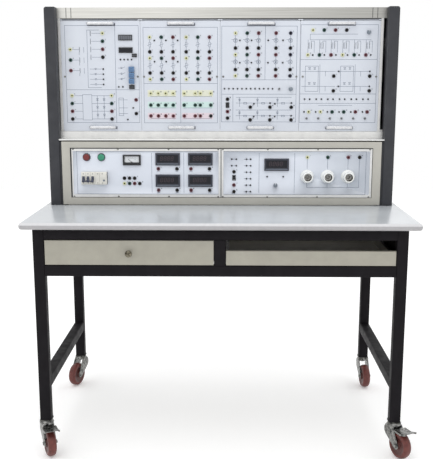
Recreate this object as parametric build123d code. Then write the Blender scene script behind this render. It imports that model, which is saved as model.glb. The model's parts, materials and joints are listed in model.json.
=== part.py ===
from build123d import *
import os

# A training bench for power electronics: a worktop on a welded tube frame with
# castors, a drawer and a keyboard tray, and a rack on top that carries a mains
# cabinet and four hanging experiment modules.
# Millimetres. The origin is on the floor under the middle of the worktop, +X is
# to the right seen from the front, the front faces -Y and +Z is up.

# Worktop
top_width = 1400
top_depth = 800
top_height = 870
top_thickness = 25
top_corner_radius = 18
top_edge_radius = 9
top_underside_chamfer = 3

# Welded frame of square steel tube
tube = 40
tube_wall = 2
frame_width = 1320
front_setback = 35        # frame front behind the worktop's front edge
rear_setback = 9
bay_height = 92           # clear height of the drawer bay and the tray bay
stretcher_height = 248    # underside of the low side stretchers
caster_height = 130       # floor to the end of a leg

# Drawer, keyboard tray and their runners
bay_gap = 2               # gap round the drawer front and the tray front
front_sheet = 18          # depth of the folded drawer front
drawer_depth = 460
drawer_side_height = 66
sheet = 1.5               # steel sheet of drawer, tray and covers
tray_front_height = 52
tray_depth = 420
tray_side_height = 34
runner_height = 30
runner_width = 12
runner_drop = 36          # how far the runner's web hangs down beside its bearer
runner_clearance = 0.4
runner_lift = 8           # runner above the rail below it
tray_lift = 6             # drawer and tray floors above the rail below them
slider_end_gap = 1
front_edge_radius = 2
knob_diameter = 25
knob_neck = 12
knob_reach = 24
knob_neck_reach = 11
knob_edge = 4         # straight edge of the knob's head
knob_crown = 3        # how far the head's crown stands out
knob_face = 20

# Rack on the worktop
rack_width = 1346
rack_depth = 300
rack_setback = 422        # post front behind the worktop's front edge
post_width = 40
post_depth = 80
rear_post_depth = 40
post_wall = 2.5
post_corner_radius = 9
cover_sheet = 2
vent_rows = 3
vent_columns = 12
vent_length = 70
vent_height = 6
vent_pitch = 16
vent_margin_low = 60      # lowest slots above the cabinet's underside
vent_margin_high = 90     # lowest of the upper slots below the header
back_lift = 10            # rear cover above the worktop

# Mains cabinet in the foot of the rack
cabinet_width = 1248
cabinet_lift = 3          # cabinet above the worktop
cabinet_height = 247
cabinet_depth = 26
window_width = 1183
window_sill = 27          # window above the cabinet's underside
window_height = 196
panel_recess = 5          # panel face behind the cabinet face
panel_thickness = 3
panel_gap = 1             # between the two panels and round them
panel_rim = 9             # raised aluminium edge of a panel
panel_rim_height = 1.5
panel_rim_cap = 12        # the rim along a panel's upper and lower edges
panel_flange = 3          # sheet of the panel's folded ends
cabinet_lip = 6           # lip that the panels stand against from the front
plinth_inset = 20
plinth_setback = 5
ear_height = 20
ear_margin = 40
ear_setback = 10

# Rails that the modules hang in
module_recess = 48        # module face behind the post fronts
ledge_height = 6
ledge_gap = 4             # ledge above the cabinet
rail_sheet = 3
lip_height = 7
lip_thickness = 2
lip_setback = 1           # lip behind the module's face plate
shelf_pad = 1             # felt-thin pads that carry the modules
shelf_rise = 38           # the shelf that the modules stand on, above the cabinet
module_clearance = 9      # header above the modules
header_height = 40
header_depth = 22
header_sheet = 2
header_joint = 36         # first joint line from the end of the header
header_joint_step = 19
joint_groove = 1
channel_width = 12
channel_gap = 2           # channel clear of the post
module_side_gap = 0.5
module_lift = 8.5

# Experiment modules
module_width = 307.6
module_gap = 0.8
module_height = 421
module_face = 3
module_case_depth = 40
module_inset = 2
module_corner = 3
face_margin = 0.5         # face plate inside the module's height
case_drop = 2             # case below the module's top
tongue_setback = 4
tongue_height = 22
tongue_thickness = 4
handle_length = 104
handle_reach = 30
handle_bar = 8
handle_height = 10
handle_margin = 11        # handle's middle from the module's upper edge
handle_offset = 3         # handles to the right of the module's middle

# Sockets, jacks and small controls
socket_diameter = 13
socket_reach = 4
socket_bore = 4.4
jack_diameter = 6.6
jack_reach = 3
display_reach = 4
relay_reach = 15
small_block_reach = 6
control_knob_diameter = 16
control_knob_height = 13
control_knob_shoulder = 10
control_knob_slope = 0.5
control_knob_top = 12.5
control_gap = 0.3         # gap between a turning knob and the face below it
pointer_width = 1.6
pointer_rise = 1          # pointer proud of the knob's rim and top
pointer_length = 5.8
pointer_foot = 3          # pointer above the face
toggle_bush = 8
toggle_bush_bore = 5.6
toggle_nut = 10.4         # across the corners of the bush's nut
toggle_nut_height = 2
toggle_bush_height = 3
toggle_lever_length = 15
toggle_neck = 2.6
toggle_tip = 4.2
toggle_end = 2.8
toggle_tilt = 13
rocker_width = 14
rocker_length = 21
rocker_frame = 1.5
rocker_tilt = 11
rocker_frame_height = 2
rocker_proud = 4.2        # ends of the rocker in front of the face
rocker_waist = 2.6
rocker_root = 0.6
rocker_end_gap = 1.8
rocker_side_gap = 0.4
rocker_pocket = 9

# Meters, breaker, push buttons and lamp holders on the mains panels
meter_width = 96
meter_height = 48
meter_bezel = 7
meter_body_depth = 55
meter_cutout = 2          # bezel overlap on each side of its cut-out
meter_chamfer = 2
meter_window_margin = 7
meter_window_height = 30
meter_window_lift = 2     # window above the middle of the bezel
meter_window_depth = 3.5
body_gap = 0.3            # clearance of a body in its cut-out
analog_width = 70
analog_height = 41
analog_bezel = 10
analog_chamfer = 1.5
analog_frame = 5          # bezel beside the window
analog_window_height = 29
analog_window_lift = 1
analog_plate = 3          # scale plate in front of the panel
analog_body_inset = 6
analog_body_depth = 30
needle_seat = 4           # needle's pivot above the foot of the window
needle_pin = 3.2
needle_pin_length = 2
needle_hub = 6
needle_hub_height = 1.2
needle_lift = 0.2         # hub clear of the scale plate
needle_clearance = 0.06
needle_width = 1
needle_sheet = 0.6
needle_start = 2.4
needle_length = 21
needle_rest = -45
breaker_width = 101
breaker_height = 49
breaker_reach = 17
breaker_body_depth = 45
breaker_chamfer = 1
breaker_seam = 0.8
breaker_seam_depth = 1.5
pole_width = 18
lever_hub = 8
lever_length = 19
lever_width = 9
lever_swing = 84
lever_thickness = 7
lever_setback = 2         # lever axis behind the breaker's front
lever_chamfer = 1.2
tie_bar = 4               # square bar that ties the three levers
tie_setback = 2
hub_gap = 0.4
test_button_diameter = 7
test_button_inset = 12
test_button_drop = 8
test_button_hole = 7
test_button_travel = 1.5
test_button_proud = 2
button_head = 26
button_collar = 31
button_reach = 10
button_travel = 4
collar_height = 5
button_stem = 15.6
button_stem_length = 12
button_gap = 0.4
button_crown = 1
button_edge = 1.5
collar_slope = 1.2
lamp_base = 54
lamp_foot = 8             # straight foot of the holder
lamp_shoulder = 13
lamp_shoulder_slope = 1.6
lamp_neck = 41
lamp_neck_height = 27
lamp_neck_slope = 0.7
lamp_lip = 2.6
lamp_mouth = 36
lamp_height = 44
shell_inner = 27          # screw shell for a 27 mm lamp cap
shell_wall = 1
shell_depth = 27
shell_setback = 3         # shell's edge behind the holder's mouth
contact_diameter = 10
contact_height = 2
shell_foot = 0.5          # straight wall starts this far above the contact

# Castors
wheel_diameter = 100
wheel_width = 32
hub_diameter = 30
rim_diameter = 72
rim_recess = 4
tread_slope = 6
tread_shoulder = 9
hub_end_gap = 0.4         # hub to fork cheek
caster_trail = 40
fork_gap = 2.5            # wheel to fork cheek
fork_sheet = 3
axle_diameter = 8
axle_clearance = 0.06
axle_nut = 14.4           # across the corners
fork_eye = 26             # width of the cheek round the axle
fork_drop = 20            # cheek's upper round below the crown
race_diameter = 54
race_top_diameter = 43
race_height = 9
kingpin_diameter = 10
kingpin_nut = 18          # across the corners
race_gap = 0.4
mount_plate = 4
plate_overhang = 2
plate_corner = 4
kingpin_tail = 7          # kingpin below the fork's crown
nut_height = 5
brake_pivot = 16          # pedal pivot in front of the kingpin
brake_height = 105        # pedal pivot above the floor
brake_pin = 5
brake_reach = 95          # end of the pedal in front of the kingpin
brake_width = 52
brake_sheet = 2.5
brake_skirt = 7
brake_gap = 0.5
brake_rise = 6            # pedal tip above its arm
brake_rise_length = 28

# Where things stand, worked out from the sizes above
top_front = -top_depth / 2
top_back = top_depth / 2
top_underside = top_height - top_thickness
frame_front = top_front + front_setback
frame_back = top_back - rear_setback
leg_x = frame_width / 2 - tube / 2
front_leg_y = frame_front + tube / 2
rear_leg_y = frame_back - tube / 2
upper_rail_bottom = top_underside - tube
lower_rail_top = upper_rail_bottom - bay_height
lower_rail_bottom = lower_rail_top - tube
bay_inner = tube / 2
bay_outer = frame_width / 2 - tube
post_front = top_front + rack_setback
post_back = post_front + post_depth
cabinet_bottom = top_height + cabinet_lift
cabinet_top = cabinet_bottom + cabinet_height
window_bottom = cabinet_bottom + window_sill
window_top = window_bottom + window_height
module_floor = cabinet_top + shelf_rise
module_top = module_floor + module_height
header_bottom = module_top + module_clearance
rack_top = header_bottom + header_height
rack_back = post_front + rack_depth
rear_post_front = rack_back - rear_post_depth
post_inner = rack_width / 2 - post_width
face_y = post_front + module_recess
face_back = face_y + module_face
rail_bottom = cabinet_top + ledge_gap
panel_face_y = post_front + panel_recess
panel_middle_z = (window_bottom + window_top) / 2
wheel_radius = wheel_diameter / 2
cheek = wheel_width / 2 + fork_gap
runner_bottom = lower_rail_top + runner_lift
tray_floor = lower_rail_top + tray_lift
toggle_ball = toggle_bush_bore / 2 - control_gap
toggle_pivot = toggle_ball + control_gap


def block(x, y, z):
    # A box given by its (low, high) along each axis.
    size = [high - low for low, high in (x, y, z)]
    middle = [(low + high) / 2 for low, high in (x, y, z)]
    return Pos(*middle) * Box(*size)


def about(middle, length):
    return (middle - length / 2, middle + length / 2)


def hollow_tube(x, y, z, along, wall=tube_wall):
    # A square tube, open at both ends, that runs along the named axis.
    bore = []
    for name, (low, high) in zip("XYZ", (x, y, z)):
        if name == along:
            bore.append((low, high))
        else:
            bore.append((low + wall, high - wall))
    return block(x, y, z) - block(*bore)


def facing_front(sketch, y, depth):
    # Extrude a sketch drawn in X and Z from the plane y towards the front.
    plane = Plane(origin=(0, y, 0), x_dir=(1, 0, 0), z_dir=(0, -1, 0))
    return extrude(plane * sketch, amount=depth)


def turned(profile, x, y, z):
    # Revolve a profile of (radius, distance towards the front) points.
    lines = Polyline(*[(radius, 0, reach) for radius, reach in profile], close=True)
    body = revolve(make_face(lines), Axis.Z)
    return Pos(x, y, z) * Rot(90, 0, 0) * body


def save(name, *shapes):
    solids = [solid for shape in shapes for solid in shape.solids()]
    export_step(Compound(solids), f"parts/{name}.step")


os.makedirs("parts", exist_ok=True)


# Leg frame

def make_legs():
    legs = []
    for x in (-leg_x, leg_x):
        for y in (front_leg_y, rear_leg_y):
            span = (caster_height, top_underside)
            legs.append(hollow_tube(about(x, tube), about(y, tube), span, "Z"))
    return legs


def make_frame_rails():
    across = (-bay_outer, bay_outer)
    front = about(front_leg_y, tube)
    rear = about(rear_leg_y, tube)
    between = (front[1], rear[0])
    upper = (upper_rail_bottom, top_underside)
    lower = (lower_rail_bottom, lower_rail_top)
    rails = []
    for height in (upper, lower):
        for depth in (front, rear):
            rails.append(hollow_tube(across, depth, height, "X"))
        for x in (-leg_x, leg_x):
            rails.append(hollow_tube(about(x, tube), between, height, "Y"))
    rails.append(hollow_tube(about(0, tube), between, lower, "Y"))
    rails.append(hollow_tube(about(0, tube), front, (lower_rail_top, upper_rail_bottom), "Z"))
    return rails


def make_side_stretchers():
    between = (front_leg_y + tube / 2, rear_leg_y - tube / 2)
    height = (stretcher_height, stretcher_height + tube)
    return [hollow_tube(about(x, tube), between, height, "Y") for x in (-leg_x, leg_x)]


def make_worktop():
    slab = block((-top_width / 2, top_width / 2), (top_front, top_back),
                 (top_underside, top_height))
    corners = slab.edges().filter_by(Axis.Z).sort_by(Axis.Y)[:2]
    slab = fillet(corners, top_corner_radius)
    slab = fillet(slab.faces().sort_by(Axis.Z)[-1].edges(), top_edge_radius)
    return chamfer(slab.faces().sort_by(Axis.Z)[0].edges(), top_underside_chamfer)


save("legs", *make_legs())
save("frame_rails", *make_frame_rails())
save("side_stretchers", *make_side_stretchers())
save("worktop", make_worktop())


# Drawer and keyboard tray on their runners

def make_runner(side_x, inward, depth):
    # The web lies against the bearer, two flanges reach into the bay.
    y = (frame_front + tube, frame_front + tube + depth)
    z = (runner_bottom, runner_bottom + runner_height)
    web_x = sorted((side_x, side_x + inward * sheet))
    reach_x = sorted((side_x, side_x + inward * runner_width))
    web = block(web_x, y, (lower_rail_top - runner_drop, z[1]))
    floor = block(reach_x, y, (z[0], z[0] + sheet))
    roof = block(reach_x, y, (z[1] - sheet, z[1]))
    return web + floor + roof


def make_slider(side_x, inward, depth):
    # The moving member, fixed to the drawer's side and guided by the runner.
    y = (frame_front + tube + slider_end_gap, frame_front + tube + depth - slider_end_gap)
    inset = sheet + runner_clearance
    z = (runner_bottom + inset, runner_bottom + runner_height - inset)
    x = sorted((side_x + inward * inset, side_x + inward * (runner_width + runner_clearance)))
    return block(x, y, z)


def open_tray(x, y, z):
    outer = block(x, y, z)
    inner = block((x[0] + sheet, x[1] - sheet), (y[0] + sheet, y[1] - sheet),
                  (z[0] + sheet, z[1] + sheet))
    return outer - inner


def folded_front(x, height):
    # A front folded from sheet, with closed edges rounded where a hand meets them.
    y = (frame_front, frame_front + front_sheet)
    front = block(x, y, (lower_rail_top + bay_gap, lower_rail_top + bay_gap + height))
    outer_edges = front.faces().sort_by(Axis.Y)[0].edges()
    return fillet(outer_edges, front_edge_radius)


def make_drawer():
    bay = (-bay_outer, -bay_inner)
    front = folded_front((bay[0] + bay_gap, bay[1] - bay_gap), bay_height - 2 * bay_gap)
    side = runner_width + runner_clearance
    x = (bay[0] + side, bay[1] - side)
    y = (frame_front + front_sheet, frame_front + front_sheet + drawer_depth)
    z = (tray_floor, tray_floor + drawer_side_height)
    box = front + open_tray(x, y, z)
    depth = drawer_depth - 2 * front_sheet
    return [box, make_slider(bay[0], 1, depth), make_slider(bay[1], -1, depth)]


def make_tray():
    bay = (bay_inner, bay_outer)
    front = folded_front((bay[0] + bay_gap, bay[1] - bay_gap), tray_front_height)
    side = runner_width + runner_clearance
    x = (bay[0] + side, bay[1] - side)
    y = (frame_front + front_sheet, frame_front + front_sheet + tray_depth)
    z = (tray_floor, tray_floor + tray_side_height)
    shelf = front + open_tray(x, y, z)
    depth = tray_depth - 2 * front_sheet
    return [shelf, make_slider(bay[0], 1, depth), make_slider(bay[1], -1, depth)]


def make_drawer_knob():
    x = -(bay_outer + bay_inner) / 2
    z = lower_rail_top + bay_height / 2
    radius = knob_diameter / 2
    neck = knob_neck / 2
    head = knob_reach - knob_crown
    profile = [(0, 0), (neck, 0), (neck, knob_neck_reach), (radius, head - knob_edge),
               (radius, head), (knob_face / 2, knob_reach), (0, knob_reach)]
    return turned(profile, x, frame_front, z)


drawer_runner_depth = drawer_depth - 2 * front_sheet
tray_runner_depth = tray_depth - 2 * front_sheet
save("runners",
     make_runner(-bay_outer, 1, drawer_runner_depth),
     make_runner(-bay_inner, -1, drawer_runner_depth),
     make_runner(bay_inner, 1, tray_runner_depth),
     make_runner(bay_outer, -1, tray_runner_depth))
save("drawer_box", *make_drawer())
save("drawer_knob", make_drawer_knob())
save("keyboard_tray", *make_tray())


# Rack posts and covers

def make_post(side, y, cap_radius):
    x = sorted((side * post_inner, side * rack_width / 2))
    post = block(x, y, (top_height, rack_top))
    outer = [edge for edge in post.edges().filter_by(Axis.Y)
             if edge.center().Z > rack_top - 1 and side * edge.center().X > post_inner + 1]
    post = fillet(outer, cap_radius)
    bore = block((x[0] + post_wall, x[1] - post_wall), (y[0] + post_wall, y[1] - post_wall),
                 (top_height, rack_top - cap_radius))
    return post - bore


def make_rack_posts():
    posts = []
    for side in (-1, 1):
        posts.append(make_post(side, (post_front, post_back), post_corner_radius))
        posts.append(make_post(side, (rear_post_front, rack_back), post_corner_radius))
    return posts


def make_rack_covers():
    covers = []
    for side in (-1, 1):
        outer = side * (rack_width / 2 - post_wall)
        x = sorted((outer - side * cover_sheet, outer))
        covers.append(block(x, (post_back, rear_post_front), (top_height, rack_top - cover_sheet)))
    roof_y = (face_y + header_depth, rack_back)
    roof = block((-post_inner, post_inner), roof_y, (rack_top - cover_sheet, rack_top))
    wide = rack_width / 2 - post_corner_radius
    roof += block((-wide, wide), (post_back, rear_post_front), (rack_top - cover_sheet, rack_top))
    covers.append(roof)
    back = block((-post_inner, post_inner), (rack_back - cover_sheet, rack_back),
                 (top_height + back_lift, rack_top - cover_sheet))
    slots = []
    pitch_x = 2 * post_inner / vent_columns
    for column in range(vent_columns):
        x = -post_inner + (column + 0.5) * pitch_x
        for group_z in (cabinet_bottom + vent_margin_low, header_bottom - vent_margin_high):
            for row in range(vent_rows):
                z = group_z + row * vent_pitch
                slots.append(block(about(x, vent_length), about(rack_back, 4 * cover_sheet),
                                   about(z, vent_height)))
    covers.append(back - slots)
    return covers


save("rack_posts", *make_rack_posts())
save("rack_covers", *make_rack_covers())


# Header, lower rail and side channels that hold the modules

modules_left = -post_inner + channel_width
module_pitch = module_width + module_gap
modules_right = modules_left + 4 * module_pitch - module_gap
lip_front = face_back + lip_setback


def make_header():
    # A channel open downwards: the modules' tongues go up between its walls.
    y = (face_y - header_sheet, face_y + header_depth)
    z = (header_bottom, rack_top)
    channel = block((-post_inner, post_inner), y, z)
    channel -= block((-post_inner, post_inner), (y[0] + header_sheet, y[1] - header_sheet),
                     (z[0], z[1] - header_sheet))
    # Joint lines of the end pieces and of the trim strips beside them.
    groove = joint_groove
    cuts = []
    for side in (-1, 1):
        for distance in (header_joint, header_joint + header_joint_step):
            x = side * (post_inner - distance)
            cuts.append(block(about(x, groove), (y[0] - groove, y[0] + groove), z))
    return channel - cuts


def make_module_rail():
    across = (-post_inner, post_inner)
    ledge = block(across, (post_front, face_y), (rail_bottom, rail_bottom + ledge_height))
    ledge = fillet(ledge.edges().filter_by(Axis.X).sort_by(Axis.Y)[:2], ledge_height / 3)
    upright_y = (face_y - rail_sheet, face_y)
    shelf_top = module_floor - shelf_pad
    upright = block(across, upright_y, (rail_bottom, shelf_top))
    shelf_y = (face_y - rail_sheet, face_back + module_case_depth)
    shelf = block(across, shelf_y, (shelf_top - rail_sheet, shelf_top))
    pads_y = (lip_front + 2 * lip_thickness, shelf_y[1])
    pads = block(across, pads_y, (shelf_top, module_floor))
    lip = block(across, (lip_front, lip_front + lip_thickness),
                (shelf_top, module_floor + lip_height))
    rear_web = block(across, (shelf_y[1] - rail_sheet, shelf_y[1]), (rail_bottom, shelf_top))
    return ledge + upright + shelf + pads + lip + rear_web


def make_side_channel(inner_x, outward):
    outer = inner_x + outward * (channel_width - channel_gap)
    x = sorted((inner_x, outer))
    z = (module_floor + lip_height, header_bottom)
    face = block(x, (face_y, face_y + header_sheet), z)
    leg_x_span = sorted((outer - outward * header_sheet, outer))
    leg_y = (face_y, face_back + module_case_depth)
    return face + block(leg_x_span, leg_y, (module_floor, header_bottom))


save("header_rail", make_header())
save("module_rails", make_module_rail(),
     make_side_channel(modules_left - module_side_gap, -1),
     make_side_channel(modules_right + module_side_gap, 1))


# Sockets, jacks and controls that stand on a face

octagon = RegularPolygon(socket_diameter / 2, 8)
hexagon = RegularPolygon(jack_diameter / 2, 6)
socket_shape = facing_front(octagon, 0, socket_reach)
socket_shape -= facing_front(RegularPolygon(socket_bore / 2, 4), -1, socket_reach)
jack_shape = facing_front(hexagon, 0, jack_reach)


def place(shape, points, y):
    return [Pos(x, y, z) * shape for x, z in points]


def make_knob(x, y, z):
    radius = control_knob_diameter / 2
    profile = [(0, 0), (radius, 0), (radius - control_knob_slope, control_knob_shoulder),
               (control_knob_top / 2, control_knob_height), (0, control_knob_height)]
    knob = turned(profile, x, y - control_gap, z)
    knob_front = y - control_gap - control_knob_height
    pointer_end = z + radius + pointer_rise
    pointer = block(about(x, pointer_width), (knob_front - pointer_rise, y - pointer_foot),
                    (pointer_end - pointer_length, pointer_end))
    return knob + pointer


def eight_sided(profile):
    # A small turned piece drawn with eight flat sides, from (radius, reach) points.
    rings = [Plane.XZ.offset(reach) * RegularPolygon(radius, 8) for radius, reach in profile]
    return loft(rings, ruled=True)


def make_toggle_bush(x, y, z):
    nut = facing_front(RegularPolygon(toggle_nut / 2, 6), 0, toggle_nut_height)
    collar = facing_front(RegularPolygon(toggle_bush / 2, 8), -toggle_nut_height,
                          toggle_bush_height)
    length = toggle_nut_height + toggle_bush_height
    bush = nut + collar - facing_front(RegularPolygon(toggle_bush_bore / 2, 8), 1, length + 2)
    return Pos(x, y, z) * bush


def make_toggle_lever(x, y, z):
    # The ball sits in the bush's bore and the lever leans down at rest.
    ball = toggle_ball
    wide, deep = ball * 0.75, ball * 0.66
    profile = [(wide, -deep), (ball, 0), (wide, deep), (toggle_neck / 2, ball * 0.85),
               (toggle_tip / 2, toggle_lever_length - toggle_tip / 2),
               (toggle_end / 2, toggle_lever_length)]
    lever = eight_sided(profile)
    return Pos(x, y - toggle_pivot, z) * Rot(toggle_tilt, 0, 0) * lever


def make_rocker_frame(x, y, z):
    outer = facing_front(RectangleRounded(rocker_width, rocker_length, rocker_frame / 2), 0,
                         rocker_frame_height)
    inner = facing_front(Rectangle(rocker_width - 2 * rocker_frame,
                                   rocker_length - 2 * rocker_frame), 1, 2 * rocker_frame_height)
    return Pos(x, y, z) * (outer - inner)


def make_rocker(x, y, z):
    # Two faces that meet in a shallow V, leaning on one side at rest.
    half = rocker_length / 2 - rocker_frame - rocker_end_gap
    width = rocker_width - 2 * (rocker_frame + rocker_side_gap)
    side = Polyline((-rocker_proud, half), (-rocker_waist, 0), (-rocker_proud, -half),
                    (rocker_root, -half), (rocker_root, half), close=True)
    body = extrude(Plane.YZ * make_face(side), amount=width / 2, both=True)
    return Pos(x, y, z) * Rot(rocker_tilt, 0, 0) * body


# Experiment modules. Places on a face are (x, z) from the middle of the module.

def grid(columns, rows):
    return [(x, z) for z in rows for x in columns]


def run(start, step, count):
    return [start + step * index for index in range(count)]


# Module 1: supply terminals, transformer, counter display and relays
left_ports = grid([-118], run(103, -40, 3))
supply_ports = grid([8], run(164, -30, 4))
bridge_ports = grid([-117, 38], run(-73, -30, 4))
output_ports = [(134, -89), (134, -142)]
module_1_sockets = left_ports + supply_ports + bridge_ports + output_ports
module_1_jacks = grid([8], run(29, -19.5, 4)) + [(122, -120), (100, -165)]
module_1_jacks += grid(run(76, 14.3, 4), [65]) + [(67, -39), (83, -39)]
counter_display = (96, 147.5, 54, 21)
text_display = (97, 100.5, 54, 21)
relay_column = [(118.5, z, 21, 20) for z in run(28, -22.6, 3)]
small_blocks = [(130.5, 80.5, 19, 13), (118.5, -39.5, 21, 15)]

# Module 2: load and gate terminals in even columns
phase_columns = run(-118, 45, 3) + run(23, 45, 3)
phase_rows = [149, 94, 70, 14, -10]
bank_columns = run(-117, 29.3, 4) + [14, 57, 77, 118]
bank_rows = [-64, -109, -151]
module_2_sockets = grid(phase_columns, phase_rows) + grid(bank_columns, bank_rows)
module_2_jacks = grid(run(-100, 45, 3), [137, 57])

# Module 3: thyristors, trigger outputs and diode bridge
valve_columns = [-95, -50, -6, 61, 117]
valve_rows = [164, 108, 83, 27, 3]
diode_columns = [-36, 41, 124]
diode_rows = [-117, -166]
switch_column_x = -125
switch_ports = grid([switch_column_x], [-86, -134, -159])
module_3_sockets = grid(valve_columns, valve_rows) + grid(diode_columns, diode_rows) + switch_ports
module_3_jacks = grid([-78, -33, 31, 88], [137, 53]) + grid(run(-137, 17, 12), [-46])
module_3_jacks += grid([-22, 60], [-104, -153]) + grid([41, 124], [-101, -150])
module_3_rocker_place = (switch_column_x, -109)
module_3_toggle_place = (76, -47)
module_3_knob_place = (121, -47)

# Module 4: trigger unit with its six channels
source_ports = grid(run(-106, 43, 4), [175])
channel_ports = grid(run(-124, 44.6, 6), [82])
gate_ports = grid(run(-116, 45.6, 6), [-135])
bridge_arms = grid([-22, 117], [2, -54])
module_4_sockets = source_ports + channel_ports + gate_ports + bridge_arms
module_4_jacks = [(x + 19, z) for x, z in channel_ports] + [(x - 18, z) for x, z in gate_ports]
module_4_jacks += grid([-3, 117], [20, -37]) + grid(run(-133, 45.4, 6), [-86])
module_4_jacks += grid(run(-113, 45.4, 6), [-86])
module_4_knob_place = (108, 167)
toggle_row = grid(run(-124, 45.6, 6), [-160])

module_middle_z = module_floor + module_height / 2


def module_middle_x(number):
    return modules_left + module_width / 2 + (number - 1) * module_pitch


def on_module(number, points):
    middle = module_middle_x(number)
    return [(middle + x, module_middle_z + z) for x, z in points]


def make_module(number):
    middle = module_middle_x(number)
    face_sketch = Pos(middle, module_middle_z) * RectangleRounded(module_width,
                                                                  module_height - 2 * face_margin,
                                                                  module_corner)
    face = facing_front(face_sketch, face_back, module_face)
    case_x = about(middle, module_width - 2 * module_inset)
    case_back = face_back + module_case_depth
    case = block(case_x, (face_back, case_back), (module_floor, module_top - case_drop))
    tongue_y = (face_back + tongue_setback, face_back + tongue_setback + tongue_thickness)
    tongue = block(about(middle, module_width - 8 * module_inset), tongue_y,
                   (module_top - case_drop, module_top + tongue_height))
    groove = block(about(middle, module_width),
                   about(lip_front + lip_thickness / 2, lip_thickness + 1),
                   (module_floor, module_floor + lip_height + 1))
    body = face + case + tongue
    return body - groove


def make_handle(x, z):
    y = (face_y - handle_reach, face_y)
    height = about(z, handle_height)
    bar = block(about(x, handle_length), y, height)
    bar = fillet(bar.edges().filter_by(Axis.Z).sort_by(Axis.Y)[:2], handle_bar)
    gap = block(about(x, handle_length - 2 * handle_bar), (y[0] + handle_bar, y[1]), height)
    return bar - gap


def make_handles(number):
    x = module_middle_x(number) + handle_offset
    return [make_handle(x, module_floor + handle_margin + handle_height / 2),
            make_handle(x, module_top - handle_margin)]


def make_plates(number, plates, reach):
    solids = []
    for x, z, width, height in plates:
        (px, pz), = on_module(number, [(x, z)])
        solids.append(block(about(px, width), (face_y - reach, face_y), about(pz, height)))
    return solids


module_sockets = {1: module_1_sockets, 2: module_2_sockets,
                  3: module_3_sockets, 4: module_4_sockets}
module_jacks = {1: module_1_jacks, 2: module_2_jacks, 3: module_3_jacks, 4: module_4_jacks}
for number in (1, 2, 3, 4):
    module = make_module(number)
    fittings = place(socket_shape, on_module(number, module_sockets[number]), face_y)
    fittings += place(jack_shape, on_module(number, module_jacks[number]), face_y)
    if number == 1:
        fittings += make_plates(1, [counter_display, text_display], display_reach)
        fittings += make_plates(1, relay_column, relay_reach)
        fittings += make_plates(1, small_blocks, small_block_reach)
    if number == 3:
        (rocker_x, rocker_z), = on_module(3, [module_3_rocker_place])
        (toggle_x, toggle_z), = on_module(3, [module_3_toggle_place])
        (knob_x, knob_z), = on_module(3, [module_3_knob_place])
        module -= block(about(rocker_x, rocker_width - 2 * rocker_frame),
                        (face_y, face_y + rocker_pocket),
                        about(rocker_z, rocker_length - 2 * rocker_frame))
        fittings += [make_rocker_frame(rocker_x, face_y, rocker_z),
                     make_toggle_bush(toggle_x, face_y, toggle_z)]
        save("module_3_rocker", make_rocker(rocker_x, face_y, rocker_z))
        save("module_3_toggle", make_toggle_lever(toggle_x, face_y, toggle_z))
        save("module_3_knob", make_knob(knob_x, face_y, knob_z))
    if number == 4:
        (knob_x, knob_z), = on_module(4, [module_4_knob_place])
        save("module_4_knob", make_knob(knob_x, face_y, knob_z))
        for index, (x, z) in enumerate(on_module(4, toggle_row), start=1):
            fittings.append(make_toggle_bush(x, face_y, z))
            save(f"channel_toggle_{index}", make_toggle_lever(x, face_y, z))
    save(f"module_{number}_case", module)
    save(f"module_{number}_handles", *make_handles(number))
    save(f"module_{number}_sockets", *fittings)


# Mains cabinet and its two panels. Places on a panel are (x, z) from the middle
# of the bench and the middle of the panels.

meter_places = [(-209, 53.5), (-81, 53.5), (-209, -30.5), (-81, -30.5), (217.5, 33)]
meter_socket_offsets = [(-37, -37.5), (36, -37.5)]
analog_place = (-349.5, 50.5)
breaker_place = (-497.5, -20.5)
stop_place = (-527, 61)
start_place = (-469, 61)
mains_sockets = grid(run(-380, 20, 3), [-21]) + grid(run(-380, 20, 4), [-42])
lamp_places = grid(run(337, 79.5, 3), [-13])
lamp_sockets = [(337, 62), (416.5, 62), (496, 62), (540, 62)]
fuse_column_x = 51
fuse_sockets = grid([fuse_column_x], [5, -47, -73])
power_rocker_place = (fuse_column_x, -19)
jack_field = grid([42, 60], run(54, -25.4, 2)) + grid([100, 116], run(54, -25.4, 6))
jack_field += [(181, -14), (244, -14)]
load_knob_place = (214, -48)


def on_panel(points):
    return [(x, panel_middle_z + z) for x, z in points]


def make_cabinet():
    x = (-cabinet_width / 2, cabinet_width / 2)
    y = (post_front, post_front + cabinet_depth)
    z = (cabinet_bottom, cabinet_top)
    shell = block(x, y, z)
    shell -= block((x[0] + cover_sheet, x[1] - cover_sheet), (y[0] + cover_sheet, y[1]),
                   (z[0] + cover_sheet, z[1] - cover_sheet))
    window_x = (-window_width / 2, window_width / 2)
    window_z = (window_bottom, window_top)
    fold = block((window_x[0] - cover_sheet, window_x[1] + cover_sheet), y,
                 (window_z[0] - cover_sheet, window_z[1] + cover_sheet))
    shell = shell + fold - block(window_x, y, window_z)
    # The panels stand against a lip that runs round the back of the window.
    lip_y = (y[1], y[1] + cover_sheet)
    lip = block((window_x[0] - cover_sheet, window_x[1] + cover_sheet), lip_y,
                (window_z[0] - cover_sheet, window_z[1] + cover_sheet))
    lip -= block((window_x[0] + cabinet_lip, window_x[1] - cabinet_lip), lip_y,
                 (window_z[0] + cabinet_lip, window_z[1] - cabinet_lip))
    # A set-back plinth stands on the worktop, ears reach the posts.
    plinth = block((x[0] + plinth_inset, x[1] - plinth_inset), (y[0] + plinth_setback, y[1]),
                   (top_height, cabinet_bottom))
    shell = shell + lip + plinth
    for side in (-1, 1):
        ear_x = sorted((side * cabinet_width / 2, side * post_inner))
        for ear_z in (z[0] + ear_margin, z[1] - ear_margin):
            shell = shell + block(ear_x, (y[0] + ear_setback, y[1]), about(ear_z, ear_height))
    return shell


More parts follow.
